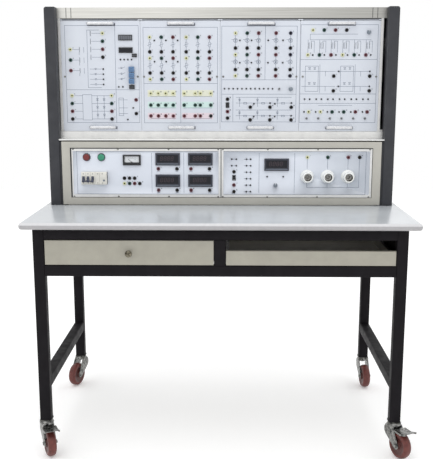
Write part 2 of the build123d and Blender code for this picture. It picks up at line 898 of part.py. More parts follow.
def make_panel(x):
    z = (window_bottom + panel_gap, window_top - panel_gap)
    plate = block(x, (panel_face_y, panel_face_y + panel_thickness), z)
    rim = block(x, (panel_face_y - panel_rim_height, panel_face_y), z)
    rim -= block((x[0] + panel_rim, x[1] - panel_rim),
                 (panel_face_y - panel_rim_height, panel_face_y),
                 (z[0] + panel_rim_cap, z[1] - panel_rim_cap))
    # Folded ends stand against the back of the window's fold.
    back = post_front + cabinet_depth
    flange = block(x, (panel_face_y, back), z) - block(
        (x[0] + panel_flange, x[1] - panel_flange), (panel_face_y, back),
        (z[0] + panel_flange, z[1] - panel_flange))
    return plate + rim + flange


def make_meter(x, z):
    width = (about(x, meter_width), about(z, meter_height))
    bezel = block(width[0], (panel_face_y - meter_bezel, panel_face_y), width[1])
    bezel = chamfer(bezel.faces().sort_by(Axis.Y)[0].edges(), meter_chamfer)
    front = panel_face_y - meter_bezel
    window = block(about(x, meter_width - 2 * meter_window_margin),
                   (front, front + meter_window_depth),
                   about(z + meter_window_lift, meter_window_height))
    inset = meter_cutout + body_gap
    body = block(about(x, meter_width - 2 * inset),
                 (panel_face_y, panel_face_y + meter_body_depth),
                 about(z, meter_height - 2 * inset))
    return bezel - window + body


def needle_z(z):
    return z + analog_window_lift - analog_window_height / 2 + needle_seat


def make_analog_meter(x, z):
    # A black case with a window, a scale plate set back in it and a body behind.
    bezel = block(about(x, analog_width), (panel_face_y - analog_bezel, panel_face_y),
                  about(z, analog_height))
    bezel = chamfer(bezel.faces().sort_by(Axis.Y)[0].edges(), analog_chamfer)
    scale_y = panel_face_y - analog_plate
    well = block(about(x, analog_width - 2 * analog_frame), (panel_face_y - analog_bezel, scale_y),
                 about(z + analog_window_lift, analog_window_height))
    body = block(about(x, analog_width - 2 * analog_body_inset),
                 (panel_face_y, panel_face_y + analog_body_depth),
                 about(z, analog_height - 2 * analog_body_inset))
    pin = facing_front(Circle(needle_pin / 2), 0, needle_pin_length)
    return bezel - well + body + Pos(x, scale_y, needle_z(z)) * pin


def make_needle(x, z):
    # A hub on the pivot and a thin pointer that leans to the left at zero.
    ring = Circle(needle_hub / 2) - Circle(needle_pin / 2 + needle_clearance)
    hub = facing_front(ring, -needle_lift, needle_hub_height)
    pointer_y = -needle_lift - needle_hub_height
    pointer = block(about(0, needle_width), (pointer_y, pointer_y + needle_sheet),
                    (needle_start, needle_length))
    needle = hub + pointer
    return Pos(x, panel_face_y - analog_plate, needle_z(z)) * Rot(0, needle_rest, 0) * needle


def make_breaker(x, z):
    y = (panel_face_y - breaker_reach, panel_face_y + breaker_body_depth)
    body = block(about(x, breaker_width), y, about(z, breaker_height))
    body = chamfer(body.faces().sort_by(Axis.Y)[0].edges(), breaker_chamfer)
    # Hollows for the hubs of the three levers, and the seam to the add-on block.
    for pole_x in pole_places(x):
        hub = Pos(pole_x, lever_axis_y, z) * Rot(0, 90, 0) * Cylinder(
            lever_hub + hub_gap, lever_width + 2 * hub_gap)
        body -= hub
    poles_right = x - breaker_width / 2 + 3 * pole_width
    body -= block(about(poles_right, breaker_seam), (y[0] - 1, y[0] + breaker_seam_depth),
                  about(z, breaker_height + 2))
    hole = facing_front(Circle(test_button_diameter / 2 + hub_gap), y[0] + test_button_hole,
                        test_button_hole + 1)
    return body - Pos(test_x(x), 0, z - test_button_drop) * hole


lever_axis_y = panel_face_y - breaker_reach + lever_setback


def pole_places(x):
    return run(x - breaker_width / 2 + pole_width / 2, pole_width, 3)


def test_x(x):
    return x + breaker_width / 2 - test_button_inset


def make_breaker_lever(x, z):
    lever = []
    for pole_x in pole_places(x):
        hub = Pos(pole_x, 0, 0) * Rot(0, 90, 0) * Cylinder(lever_hub, lever_width)
        paddle = block(about(pole_x, lever_width), (-lever_length, 0), about(0, lever_thickness))
        paddle = chamfer(paddle.faces().sort_by(Axis.Y)[0].edges(), lever_chamfer)
        lever.append(hub + paddle)
    first, last = pole_places(x)[0], pole_places(x)[-1]
    tie_front = tie_setback - lever_length
    tie = block((first, last), (tie_front, tie_front + tie_bar), about(0, tie_bar))
    whole = lever[0] + lever[1] + lever[2] + tie
    return Pos(0, lever_axis_y, z) * Rot(lever_swing / 2, 0, 0) * whole


def make_test_button(x, z):
    inside = test_button_hole - test_button_travel - hub_gap
    cap = facing_front(Circle(test_button_diameter / 2), panel_face_y - breaker_reach + inside,
                       inside + test_button_proud)
    return Pos(test_x(x), 0, z - test_button_drop) * cap


def make_button_collar(x, z):
    radius = button_collar / 2
    inner = button_head / 2 + button_gap
    profile = [(inner, 0), (radius, 0), (radius, collar_height / 2),
               (radius - collar_slope, collar_height), (inner, collar_height)]
    return turned(profile, x, panel_face_y, z)


def make_button(x, z):
    # The cap, and the stem that passes through the panel.
    radius = button_head / 2
    stem = button_stem / 2
    back = button_travel + button_gap
    profile = [(0, -button_stem_length), (stem, -button_stem_length), (stem, back), (radius, back),
               (radius, button_reach), (radius - button_edge, button_reach + button_crown),
               (0, button_reach + button_crown)]
    return turned(profile, x, panel_face_y, z)


def make_lamp_holder(x, z):
    base = lamp_base / 2
    mouth = lamp_mouth / 2
    bore = shell_inner / 2 + shell_wall
    step = lamp_height - shell_depth
    neck = lamp_neck / 2
    profile = [(0, 0), (base, 0), (base, lamp_foot), (base - lamp_shoulder_slope, lamp_shoulder),
               (neck, lamp_neck_height), (neck - lamp_neck_slope, lamp_height - lamp_lip),
               (mouth, lamp_height), (bore, lamp_height), (bore, step), (0, step)]
    return turned(profile, x, panel_face_y, z)


def make_lamp_shell(x, z):
    outer = shell_inner / 2 + shell_wall
    inner = shell_inner / 2
    step = lamp_height - shell_depth
    edge = lamp_height - shell_setback
    floor = step + shell_wall
    contact = contact_diameter / 2
    # the pressed shell draws in at its foot, so the straight wall clears the contact
    foot = contact_height + shell_foot
    profile = [(0, step), (outer, step), (outer, edge), (inner, edge), (inner, floor + foot),
               (inner - foot, floor), (contact, floor), (contact, floor + contact_height),
               (0, floor + contact_height)]
    return turned(profile, x, panel_face_y, z)


save("power_cabinet", make_cabinet())

half_gap = panel_gap / 2
panel_spans = [(-window_width / 2 + panel_gap, -half_gap), (half_gap, window_width / 2 - panel_gap)]
cut_y = (panel_face_y - panel_rim_height, panel_face_y + panel_thickness)
cutouts = [block(about(x, meter_width - 2 * meter_cutout), cut_y,
                 about(z, meter_height - 2 * meter_cutout)) for x, z in on_panel(meter_places)]
(analog_x, analog_z), = on_panel([analog_place])
(breaker_x, breaker_z), = on_panel([breaker_place])
(stop_x, stop_z), = on_panel([stop_place])
(start_x, start_z), = on_panel([start_place])
(power_rocker_x, power_rocker_z), = on_panel([power_rocker_place])
(load_knob_x, load_knob_z), = on_panel([load_knob_place])
analog_inset = analog_body_inset - body_gap
cutouts.append(block(about(analog_x, analog_width - 2 * analog_inset), cut_y,
                     about(analog_z, analog_height - 2 * analog_inset)))
cutouts.append(block(about(breaker_x, breaker_width + 2 * body_gap), cut_y,
                     about(breaker_z, breaker_height + 2 * body_gap)))
cutouts.append(block(about(power_rocker_x, rocker_width - 2 * rocker_frame), cut_y,
                     about(power_rocker_z, rocker_length - 2 * rocker_frame)))
for x, z in ((stop_x, stop_z), (start_x, start_z)):
    stem_hole = facing_front(Circle((button_stem + button_gap) / 2), cut_y[1], cut_y[1] - cut_y[0])
    cutouts.append(Pos(x, 0, z) * stem_hole)
save("power_panels", *[make_panel(span) - cutouts for span in panel_spans])

meters = [make_meter(x, z) for x, z in on_panel(meter_places)]
save("panel_meters", *meters, make_analog_meter(analog_x, analog_z))
save("meter_needle", make_needle(analog_x, analog_z))
save("breaker_body", make_breaker(breaker_x, breaker_z))
save("breaker_lever", make_breaker_lever(breaker_x, breaker_z))
save("breaker_test_button", make_test_button(breaker_x, breaker_z))
save("button_collars", make_button_collar(stop_x, stop_z), make_button_collar(start_x, start_z))
save("stop_button", make_button(stop_x, stop_z))
save("start_button", make_button(start_x, start_z))
save("power_rocker", make_rocker(power_rocker_x, panel_face_y, power_rocker_z))
save("load_knob", make_knob(load_knob_x, panel_face_y, load_knob_z))
save("lamp_holders", *[make_lamp_holder(x, z) for x, z in on_panel(lamp_places)])
save("lamp_shells", *[make_lamp_shell(x, z) for x, z in on_panel(lamp_places)])

meter_sockets = [(x + dx, z + dz) for x, z in meter_places[:4] for dx, dz in meter_socket_offsets]
panel_sockets = on_panel(mains_sockets + meter_sockets + lamp_sockets + fuse_sockets)
save("power_sockets", *place(socket_shape, panel_sockets, panel_face_y),
     *place(jack_shape, on_panel(jack_field), panel_face_y),
     make_rocker_frame(power_rocker_x, panel_face_y, power_rocker_z))


# Castors. Each is drawn at its own place with the wheel trailing along +X of its
# swivel, and then turned about the kingpin.

mount_bottom = caster_height - mount_plate
race_bottom = mount_bottom - race_gap - race_height
kingpin_end = race_bottom - fork_sheet - kingpin_tail


def make_caster_mount(x, y):
    # The plate that closes the leg, the kingpin and the nut below the fork.
    plate_size = tube + 2 * plate_overhang
    plate = block(about(x, plate_size), about(y, plate_size), (mount_bottom, caster_height))
    plate = fillet(plate.edges().filter_by(Axis.Z), plate_corner)
    pin_length = mount_bottom - kingpin_end
    pin = Pos(x, y, kingpin_end + pin_length / 2) * Cylinder(kingpin_diameter / 2, pin_length)
    nut = Pos(x, y, kingpin_end) * extrude(RegularPolygon(kingpin_nut / 2, 6), nut_height)
    return plate + pin + nut


def make_fork(with_brake):
    # Cheeks cut from the outline round the race and the axle, joined by a crown.
    crown_top = race_bottom
    reach = race_diameter / 2
    upper = Pos(0, crown_top - fork_drop) * Circle(reach)
    lower = Pos(caster_trail, wheel_radius) * Circle(fork_eye / 2)
    outline = make_hull(upper.edges() + lower.edges())
    outline -= Pos(0, crown_top + reach) * Rectangle(4 * reach, 2 * reach)
    wide = cheek + fork_sheet
    cheeks = extrude(Plane.XZ * outline, amount=wide, both=True)
    inside_height = crown_top - fork_sheet
    inside = block((-3 * reach, 3 * reach), (-cheek, cheek), (0, inside_height))
    body = cheeks - inside
    # The ball race, a shallow pressed cone on the crown.
    race = Pos(0, 0, crown_top + race_height / 2) * Cone(race_diameter / 2, race_top_diameter / 2,
                                                         race_height)
    body = body + race
    bore = Cylinder(kingpin_diameter / 2 + axle_clearance, 4 * race_height)
    body -= Pos(0, 0, crown_top) * bore
    if with_brake:
        pivot = Pos(brake_pivot, 0, brake_height) * Rot(90, 0, 0)
        body -= pivot * Cylinder(brake_pin / 2 + axle_clearance, 3 * wide)
    axle = Pos(caster_trail, 0, wheel_radius) * Rot(90, 0, 0)
    bolt = axle * Cylinder(axle_diameter / 2, 2 * wide)
    hexagon_end = extrude(RegularPolygon(axle_nut / 2, 6), nut_height)
    nut = axle * Pos(0, 0, -wide - nut_height) * hexagon_end
    head = axle * Pos(0, 0, wide) * hexagon_end
    return body + bolt + nut + head


def make_wheel():
    half = wheel_width / 2
    tyre = wheel_radius
    rim = rim_diameter / 2
    hub = hub_diameter / 2
    bore = axle_diameter / 2 + axle_clearance
    hub_end = half + fork_gap - hub_end_gap
    profile = [(bore, hub_end), (hub, hub_end), (hub, half - rim_recess), (rim, half - rim_recess),
               (rim, half), (tyre - tread_slope, half), (tyre, half - tread_shoulder)]
    mirrored = [(radius, -offset) for radius, offset in reversed(profile)]
    lines = Polyline(*[(radius, 0, offset) for radius, offset in profile + mirrored], close=True)
    body = revolve(make_face(lines), Axis.Z)
    return Pos(caster_trail, 0, wheel_radius) * Rot(90, 0, 0) * body


def make_brake():
    # A pressed foot pedal. Its arm turns on a pin through the cheeks, and its broad
    # foot, with a skirt down each side, dips over the wheel and rises to the tip.
    arm_width = 2 * (cheek - brake_gap)
    plate_top = brake_height + brake_pin / 2 + brake_sheet
    foot_start = race_diameter / 2 + brake_skirt
    dip = (brake_reach - brake_rise_length, plate_top - brake_sheet)
    tip = (brake_reach, plate_top + brake_rise)
    foot_top = [(foot_start, plate_top), dip, tip]

    def plate(points, depth, width):
        lower = [(x, z - depth) for x, z in reversed(points)]
        outline = make_face(Polyline(*points, *lower, close=True))
        return extrude(Plane.XZ * outline, amount=width / 2, both=True)

    arm = plate([(brake_pivot, plate_top), (foot_start + brake_sheet, plate_top)],
                brake_sheet, arm_width)
    foot = plate(foot_top, brake_sheet, brake_width)
    skirt = plate(foot_top, brake_skirt, brake_width)
    skirt -= plate(foot_top, 2 * brake_skirt, brake_width - 2 * brake_sheet)
    pivot = Pos(brake_pivot, 0, brake_height) * Rot(90, 0, 0)
    hub = pivot * Cylinder(brake_pin / 2 + brake_sheet, arm_width)
    pin = pivot * Cylinder(brake_pin / 2, 2 * (cheek + fork_sheet))
    return arm + foot + skirt + hub + pin


# Angle of each wheel's trail from +X, as the bench was left standing.
caster_turns = {"front_left": -65, "front_right": -62, "rear_left": -112, "rear_right": -84}
caster_corners = {"front_left": (-leg_x, front_leg_y), "front_right": (leg_x, front_leg_y),
                  "rear_left": (-leg_x, rear_leg_y), "rear_right": (leg_x, rear_leg_y)}

save("caster_mounts", *[make_caster_mount(x, y) for x, y in caster_corners.values()])
for corner, (x, y) in caster_corners.items():
    stand = Pos(x, y, 0) * Rot(0, 0, caster_turns[corner])
    braked = corner.startswith("front")
    save(f"{corner}_fork", stand * make_fork(braked))
    save(f"{corner}_wheel", stand * make_wheel())
    if braked:
        save(f"{corner}_brake", stand * make_brake())
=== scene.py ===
import json
import math

import bmesh
import bpy
from mathutils import Matrix, Vector


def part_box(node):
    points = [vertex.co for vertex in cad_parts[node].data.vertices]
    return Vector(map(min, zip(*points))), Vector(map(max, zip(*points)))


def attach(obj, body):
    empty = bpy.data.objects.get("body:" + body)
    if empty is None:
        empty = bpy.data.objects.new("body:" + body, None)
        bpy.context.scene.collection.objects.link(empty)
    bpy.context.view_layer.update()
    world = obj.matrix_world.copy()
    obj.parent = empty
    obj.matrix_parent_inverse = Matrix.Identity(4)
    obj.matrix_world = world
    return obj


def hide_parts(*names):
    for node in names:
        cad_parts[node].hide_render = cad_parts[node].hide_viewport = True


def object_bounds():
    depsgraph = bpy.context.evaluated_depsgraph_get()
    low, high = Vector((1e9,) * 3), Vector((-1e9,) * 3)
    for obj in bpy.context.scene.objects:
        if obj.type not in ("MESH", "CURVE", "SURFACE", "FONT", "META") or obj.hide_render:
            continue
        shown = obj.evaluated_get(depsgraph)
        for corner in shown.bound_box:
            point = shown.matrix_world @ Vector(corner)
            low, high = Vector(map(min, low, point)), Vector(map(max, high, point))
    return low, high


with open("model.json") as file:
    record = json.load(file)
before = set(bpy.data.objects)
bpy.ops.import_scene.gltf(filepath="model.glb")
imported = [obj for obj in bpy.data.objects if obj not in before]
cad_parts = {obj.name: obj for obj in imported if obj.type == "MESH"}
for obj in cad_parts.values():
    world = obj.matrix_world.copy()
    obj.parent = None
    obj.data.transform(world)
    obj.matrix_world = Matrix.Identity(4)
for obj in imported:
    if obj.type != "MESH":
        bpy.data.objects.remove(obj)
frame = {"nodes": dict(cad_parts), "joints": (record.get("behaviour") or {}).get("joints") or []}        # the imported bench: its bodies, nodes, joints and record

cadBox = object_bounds()
scene = bpy.context.scene
mm = 0.001
joints = {joint["name"]: joint for joint in frame["joints"]}
modules = (1, 2, 3, 4)


def linearColour(hexText):
    # an sRGB hex colour as the linear values that a shader wants
    channels = [int(hexText[i:i + 2], 16) / 255 for i in (1, 3, 5)]
    linear = [c / 12.92 if c <= 0.04045 else ((c + 0.055) / 1.055) ** 2.4 for c in channels]
    return (*linear, 1.0)


def addNode(tree, kind, settings=None, links=None):
    # a name that is an input sets that input, any other name sets the node itself
    node = tree.nodes.new(kind)
    for name, value in (settings or {}).items():
        if isinstance(name, int) or name in node.inputs:
            node.inputs[name].default_value = value
        else:
            setattr(node, name, value)
    for name, source in (links or {}).items():
        tree.links.new(source, node.inputs[name])
    return node


# Materials. Sizes of patches and grain are in millimetres

finishes = {}


def newFinish(name, hexText, roughness, metallic=0.0, extras=None):
    # one Principled surface; what is the same all over sits on its own sockets
    material = bpy.data.materials.new(name)
    material.use_nodes = True
    tree = material.node_tree
    shader = tree.nodes["Principled BSDF"]
    shader.inputs["Base Color"].default_value = linearColour(hexText)
    shader.inputs["Roughness"].default_value = roughness
    shader.inputs["Metallic"].default_value = metallic
    for socket, value in (extras or {}).items():
        shader.inputs[socket].default_value = value
    place = addNode(tree, "ShaderNodeTexCoord").outputs["Object"]
    finishes[name] = material
    return tree, shader, place


def patches(tree, place, size, detail, rough=0.5, stretch=None):
    # noise with patches of this size, longer along a stretched axis
    if stretch:
        mapping = addNode(tree, "ShaderNodeMapping", {"Scale": stretch}, {"Vector": place})
        place = mapping.outputs["Vector"]
    settings = {"Scale": 1 / (size * mm), "Detail": detail, "Roughness": rough}
    return addNode(tree, "ShaderNodeTexNoise", settings, {"Vector": place}).outputs["Fac"]


def toneRamp(tree, noise, low, high, contrast):
    # blends two tones over the middle of a noise
    ramp = addNode(tree, "ShaderNodeValToRGB", links={"Fac": noise})
    for stop, side, tone in zip(ramp.color_ramp.elements, (-1, 1), (low, high)):
        stop.position = 0.5 + side * contrast
        stop.color = linearColour(tone)
    return ramp.outputs["Color"]


def addRelief(tree, shader, noise, height, strength=1.0):
    bump = addNode(tree, "ShaderNodeBump", {"Strength": strength, "Distance": height * mm},
                   {"Height": noise})
    tree.links.new(bump.outputs["Normal"], shader.inputs["Normal"])


def colourDrift(tree, shader, place, low, high, size, detail=4, contrast=0.25):
    # the colour wanders between two close tones
    tones = toneRamp(tree, patches(tree, place, size, detail, 0.6), low, high, contrast)
    tree.links.new(tones, shader.inputs["Base Color"])


def surfaceTexture(tree, shader, place, size, height, detail=2, stretch=(1, 1, 1)):
    # a fine relief
    addRelief(tree, shader, patches(tree, place, size, detail, stretch=stretch), height)


def roughnessDrift(tree, shader, place, low, high, size):
    # dull and shiny patches, as handling and wiping leave them
    spread = addNode(tree, "ShaderNodeMapRange",
                     {"From Min": 0.35, "From Max": 0.65, "To Min": low, "To Max": high},
                     {"Value": patches(tree, place, size, 3)})
    tree.links.new(spread.outputs["Result"], shader.inputs["Roughness"])


def surface(name, low, high, roughness, drift, relief=None, wear=None, metallic=0.0, extras=None):
    # drift, relief and wear are what the three functions above take after their tones
    parts = newFinish(name, low, roughness, metallic, extras)
    colourDrift(*parts, low, high, *drift)
    if relief:
        surfaceTexture(*parts, *relief)
    if wear:
        roughnessDrift(*parts, *wear)


def powderCoat(name, low, high, roughness, gloss):
    # baked polyester powder on steel: even colour, satin, with an orange peel of 1 to 2 mm
    surface(name, low, high, roughness, (60,), (1.6, 0.05), (roughness - 0.06, roughness + 0.08, 35),
            extras={"Specular IOR Level": gloss})


def brushedStainless():
    # belt-brushed stainless: long fine scratches along the bar, with a painted reflection that darkens it
    # towards its right end
    tree, shader, place = newFinish("brushedStainless", "#c9c8c2", 0.34, metallic=1.0)
    streaks = patches(tree, place, 1.2, 5, stretch=(0.006, 1, 1))
    # painted reflection: the colour is scaled from 1.0 at the left to 0.62 at the right end
    axes = addNode(tree, "ShaderNodeSeparateXYZ", links={"Vector": place})
    along = addNode(tree, "ShaderNodeMapRange",
                    {"From Min": -200 * mm, "From Max": 640 * mm, "To Min": 1.0, "To Max": 0.62},
                    {"Value": axes.outputs["X"]})
    tones = toneRamp(tree, streaks, "#c9c8c2", "#e4e3de", 0.2)
    tonesWithPaintedReflection = addNode(tree, "ShaderNodeVectorMath", {"operation": "SCALE"},
                     {0: tones, "Scale": along.outputs["Result"]})
    tree.links.new(tonesWithPaintedReflection.outputs["Vector"], shader.inputs["Base Color"])
    addRelief(tree, shader, streaks, 0.02, 0.6)


def platedSteel(name, low, high, roughness):
    # bright zinc or nickel on steel: mottled silver, with dull and shiny patches
    surface(name, low, high, roughness, (9, 5, 0.12), (2.5, 0.08, 4),
            (roughness - 0.08, roughness + 0.14, 7), metallic=1.0)


def printedPanel(name, low, high):
    # ABS laminate with a back-printed matt film: bluish white, nearly even
    surface(name, low, high, 0.36, (120,), (0.7, 0.008), (0.3, 0.42, 60))


def moulded(name, low, high, roughness):
    # injection-moulded plastic: solid colour, faint flow marks and a spark-eroded grain
    surface(name, low, high, roughness, (12,), (0.6, 0.012))


powderCoat("charcoalPowderCoat", "#151316", "#1c1a1d", 0.55, 0.09)
powderCoat("slatePowderCoat", "#343539", "#3f4044", 0.48, 0.24)
powderCoat("puttyPowderCoat", "#98958a", "#a3a094", 0.5, 0.4)
powderCoat("cabinetPowderCoat", "#aeaca4", "#b6b4ac", 0.5, 0.4)
# high-pressure laminate: paper print under melamine, matt with a pearl fleck
surface("greyLaminate", "#b9bdc1", "#bec2c6", 0.32, (2.2, 6, 0.3), (0.9, 0.006), (0.2, 0.27, 120))
brushedStainless()
# extruded and anodised: pale satin metal with faint die lines along the bar
surface("anodisedAluminium", "#d8d8d7", "#e6e6e4", 0.38, (30,), (1.0, 0.015, 2, (0.01, 1, 1)),
        metallic=0.85)
platedSteel("zincPlate", "#4f4f4e", "#9b9b98", 0.3)
platedSteel("zincPlateDark", "#3f3f3e", "#6e6e6a", 0.42)
platedSteel("screwSteel", "#6f6f6d", "#9b9b98", 0.3)
# the socket contacts are near black: painted shade deep in the socket bores, not the brass's own colour
platedSteel("brassContactPaintedShade", "#15110b", "#2c2212", 0.5)
platedSteel("handleAluminium", "#d2d3d6", "#e2e3e5", 0.3)
platedSteel("agedNickel", "#3d392f", "#8c8676", 0.24)
printedPanel("printedModulePanel", "#c9ced8", "#d0d5dd")
printedPanel("printedMainsPanel", "#dae0ea", "#dfe4ee")
# fired glaze: glossy, very slightly wavy, warm white
surface("glazedPorcelain", "#e9ebe9", "#f4f5f2", 0.12, (25,), (8, 0.08),
        extras={"Coat Weight": 0.5, "Coat Roughness": 0.05})
# thin rolled brass, dulled by heat: brown in the hollows
surface("pressedBrass", "#33271a", "#6f5a36", 0.34, (5,), (0.8, 0.03), metallic=1.0)
# polished chrome: a hard mirror that only fine wipe marks soften
surface("chromePlate", "#8b8c90", "#a6a7aa", 0.2, (6,), wear=(0.14, 0.26, 20), metallic=1.0)
# cast polyurethane tread: oxblood, silky, scuffed lighter where it rolls
surface("castPolyurethane", "#4b1b18", "#6f342c", 0.4, (14, 5), (1.5, 0.08))
# tinted acrylic in front of the digits: dark and glossy
surface("displayWindow", "#15161d", "#1c1d25", 0.16, (30,), extras={"Specular IOR Level": 0.3})
plastics = {
    "socketYellow": ("#c9caa0", "#d2d3ad", 0.4), "socketGreen": ("#173c38", "#204943", 0.36),
    "socketRed": ("#60303a", "#6d3943", 0.36), "socketBlack": ("#0c0d11", "#14151a", 0.36),
    "socketBlue": ("#141830", "#1b203c", 0.36), "meterPlastic": ("#2d303c", "#363946", 0.46),
    "breakerIvory": ("#d8d7cf", "#dedcd5", 0.42), "leverBlue": ("#2b3145", "#353c50", 0.4),
    "buttonRed": ("#6c2223", "#782b2a", 0.3), "buttonGreen": ("#2f8767", "#3c9374", 0.3),
    "knobGrey": ("#6d7680", "#7b848e", 0.4), "relayBlue": ("#4f7098", "#5b7ca2", 0.3),
    "segmentGrey": ("#585b63", "#666971", 0.4), "scaleWhite": ("#dfe3e6", "#e8ebed", 0.5),
    "screenInk": ("#626d80", "#6c778a", 0.5), "darkInk": ("#3c4350", "#485060", 0.5),
    "blackCap": ("#17181a", "#202124", 0.5), "segmentRed": ("#43343b", "#4c3b42", 0.35),
    # the first two tones on the next line are painted shade and a painted highlight for the worktop's nose
    "edgeBand": ("#a09fa1", "#a9a8aa", 0.4), "noseLaminate": ("#c8c8ca", "#cfcfd1", 0.25),
    "wheelCore": ("#45201d", "#542823", 0.42), "terminalGrey": ("#a3a29b", "#b0afa8", 0.5),
    "tintYellow": ("#d5d7c4", "#dadbcb", 0.45), "tintGreen": ("#c2dad6", "#c9dfdb", 0.45),
    "tintPink": ("#d9cad2", "#ddd1d8", 0.45)}
for name, tones in plastics.items():
    moulded(name, *tones)
print("materials:", len(finishes))


# CAD nodes keep their shape. Those that stay in sight take these finishes, and the
# others, which a dressed piece replaces, the frame's paint

nodeFinish = {
    "rack_covers": "slatePowderCoat", "header_rail": "brushedStainless", "runners": "zincPlate",
    "module_rails": "anodisedAluminium", "caster_mounts": "zincPlateDark", "meter_needle": "blackCap",
    "breaker_test_button": "knobGrey", **{f"module_{n}_case": "printedModulePanel" for n in modules}}
for name, node in frame["nodes"].items():
    node.data.materials.clear()
    node.data.materials.append(finishes[nodeFinish.get(name, "charcoalPowderCoat")])
print("CAD nodes dressed:", len(frame["nodes"]))


# Camera, light and floor

camera = {"place": (29.3, -3168.65, 1353.5), "down": 11.33, "turn": 0.0172, "lens": 64.0,
          "shiftX": 0.0044, "shiftY": 0.0318}


def buildCamera():
    data = bpy.data.cameras.new("photoView")
    data.lens = camera["lens"]
    data.shift_x = camera["shiftX"]
    data.shift_y = camera["shiftY"]
    eye = bpy.data.objects.new("photoView", data)
    eye.location = Vector(camera["place"]) * mm
    eye.rotation_euler = (math.radians(90 - camera["down"]), 0, camera["turn"])
    scene.collection.objects.link(eye)
    scene.camera = eye


# each lamp has its place, its size and its power
studio = {"sky": "#ffffff", "skyPower": 1.0, "floor": "#fdfdfd", "floorLow": "#fbfbfb",
          "floorSize": 14000, "floorGlow": 0.16,
          "lamps": {"key": ((-1500, -3000, 3300), 1600, 9), "back": ((600, 3000, 2600), 2400, 8),
                    "top": ((0, -900, 4600), 3400, 42)}}


def buildStudio():
    world = bpy.data.worlds.new("studio")
    world.use_nodes = True
    sky = world.node_tree.nodes["Background"]
    sky.inputs["Color"].default_value = linearColour(studio["sky"])
    sky.inputs["Strength"].default_value = studio["skyPower"]
    scene.world = world
    target = (Vector(cadBox[0]) + Vector(cadBox[1])) / 2
    for name, (place, size, power) in studio["lamps"].items():
        data = bpy.data.lights.new(name, "AREA")
        data.size = size * mm
        data.energy = power
        lamp = bpy.data.objects.new(name, data)
        lamp.location = Vector(place) * mm
        lamp.rotation_euler = (target - lamp.location).to_track_quat("-Z", "Y").to_euler()
        scene.collection.objects.link(lamp)
    half = studio["floorSize"] * mm / 2
    mesh = bpy.data.meshes.new("floor")
    mesh.from_pydata([(-half, -half, 0), (half, -half, 0), (half, half, 0), (-half, half, 0)],
                     [], [(0, 1, 2, 3)])
    floor = bpy.data.objects.new("floor", mesh)
    glow = {"Emission Color": linearColour(studio["floor"]), "Emission Strength": studio["floorGlow"]}
    parts = newFinish("studioFloor", studio["floor"], 0.9, extras=glow)
    colourDrift(*parts, studio["floor"], studio["floorLow"], 900)
    mesh.materials.append(finishes["studioFloor"])
    scene.collection.objects.link(floor)


buildCamera()
buildStudio()
scene.view_settings.view_transform = "Standard"
print("camera, lights and floor in place")


# Mesh tools. Sizes are in millimetres until a vertex is made

def polar(x, z, radius, angle):
    return (x + radius * math.cos(angle), z + radius * math.sin(angle))


def middle(low, high):
    return (low[0] + high[0]) / 2, (low[2] + high[2]) / 2


def softCorners(profile, size, steps=3):
    # each inner corner of a profile becomes a short curve
    points = [Vector(profile[0])]
    for before, corner, after in zip(profile, profile[1:], profile[2:]):
        before, corner, after = Vector(before), Vector(corner), Vector(after)
        reach = min(size, (before - corner).length / 2, (after - corner).length / 2)
        start = corner + (before - corner).normalized() * reach
        end = corner + (after - corner).normalized() * reach
        for step in range(steps + 1):
            t = step / steps
            points.append(start * (1 - t) ** 2 + corner * (2 * t * (1 - t)) + end * t * t)
    points.append(Vector(profile[-1]))
    return [tuple(point) for point in points]


def bridge(form, rings):
    # faces from each ring of points to the next; a ring of one point is a tip
    for first, second in zip(rings, rings[1:]):
        sides = max(len(first), len(second))
        for side in range(sides if sides > 1 else 0):
            after = (side + 1) % sides
            if len(first) == 1:
                form.faces.new((first[0], second[after], second[side]))
            elif len(second) == 1:
                form.faces.new((first[side], first[after], second[0]))
            else:
                form.faces.new((first[side], first[after], second[after], second[side]))


def lathe(profile, sides=32, closed=False, wave=None):
    # (radius, reach towards the front) points turned about the Y axis
    form = bmesh.new()
    rings = []
    for radius, reach in profile:
        if radius < 0.001:
            rings.append([form.verts.new((0, -reach * mm, 0))])
            continue
        ring = []
        for side in range(sides):
            angle = math.tau * side / sides
            wide = (wave(radius, reach, angle) if wave else radius) * mm
            ring.append(form.verts.new((wide * math.cos(angle), -reach * mm, wide * math.sin(angle))))
        rings.append(ring)
    bridge(form, rings + rings[:1] if closed else rings)
    return form


def block(low, high, rounding=0, steps=2):
    form = bmesh.new()
    bmesh.ops.create_cube(form, size=1)
    low, high = Vector(low) * mm, Vector(high) * mm
    for vertex in form.verts:
        vertex.co = [a + (c + 0.5) * (b - a) for a, b, c in zip(low, high, vertex.co)]
    if rounding:
        bmesh.ops.bevel(form, geom=form.edges[:], offset=rounding * mm, segments=steps,
                        profile=0.5, affect="EDGES", clamp_overlap=True)
    return form


def inset(low, high, by, y):
    # the front outline of a box, drawn in by this much, as a ring at this depth
    return low[0] + by, high[0] - by, low[2] + by, high[2] - by, y


def boxRings(rings):
    # rectangles (low x, high x, low z, high z, y), each joined to the next and the last
    # to the first
    form = bmesh.new()
    made = []
    for lowX, highX, lowZ, highZ, y in rings:
        corners = ((lowX, lowZ), (highX, lowZ), (highX, highZ), (lowX, highZ))
        made.append([form.verts.new((x * mm, y * mm, z * mm)) for x, z in corners])
    bridge(form, made + made[:1])
    return form


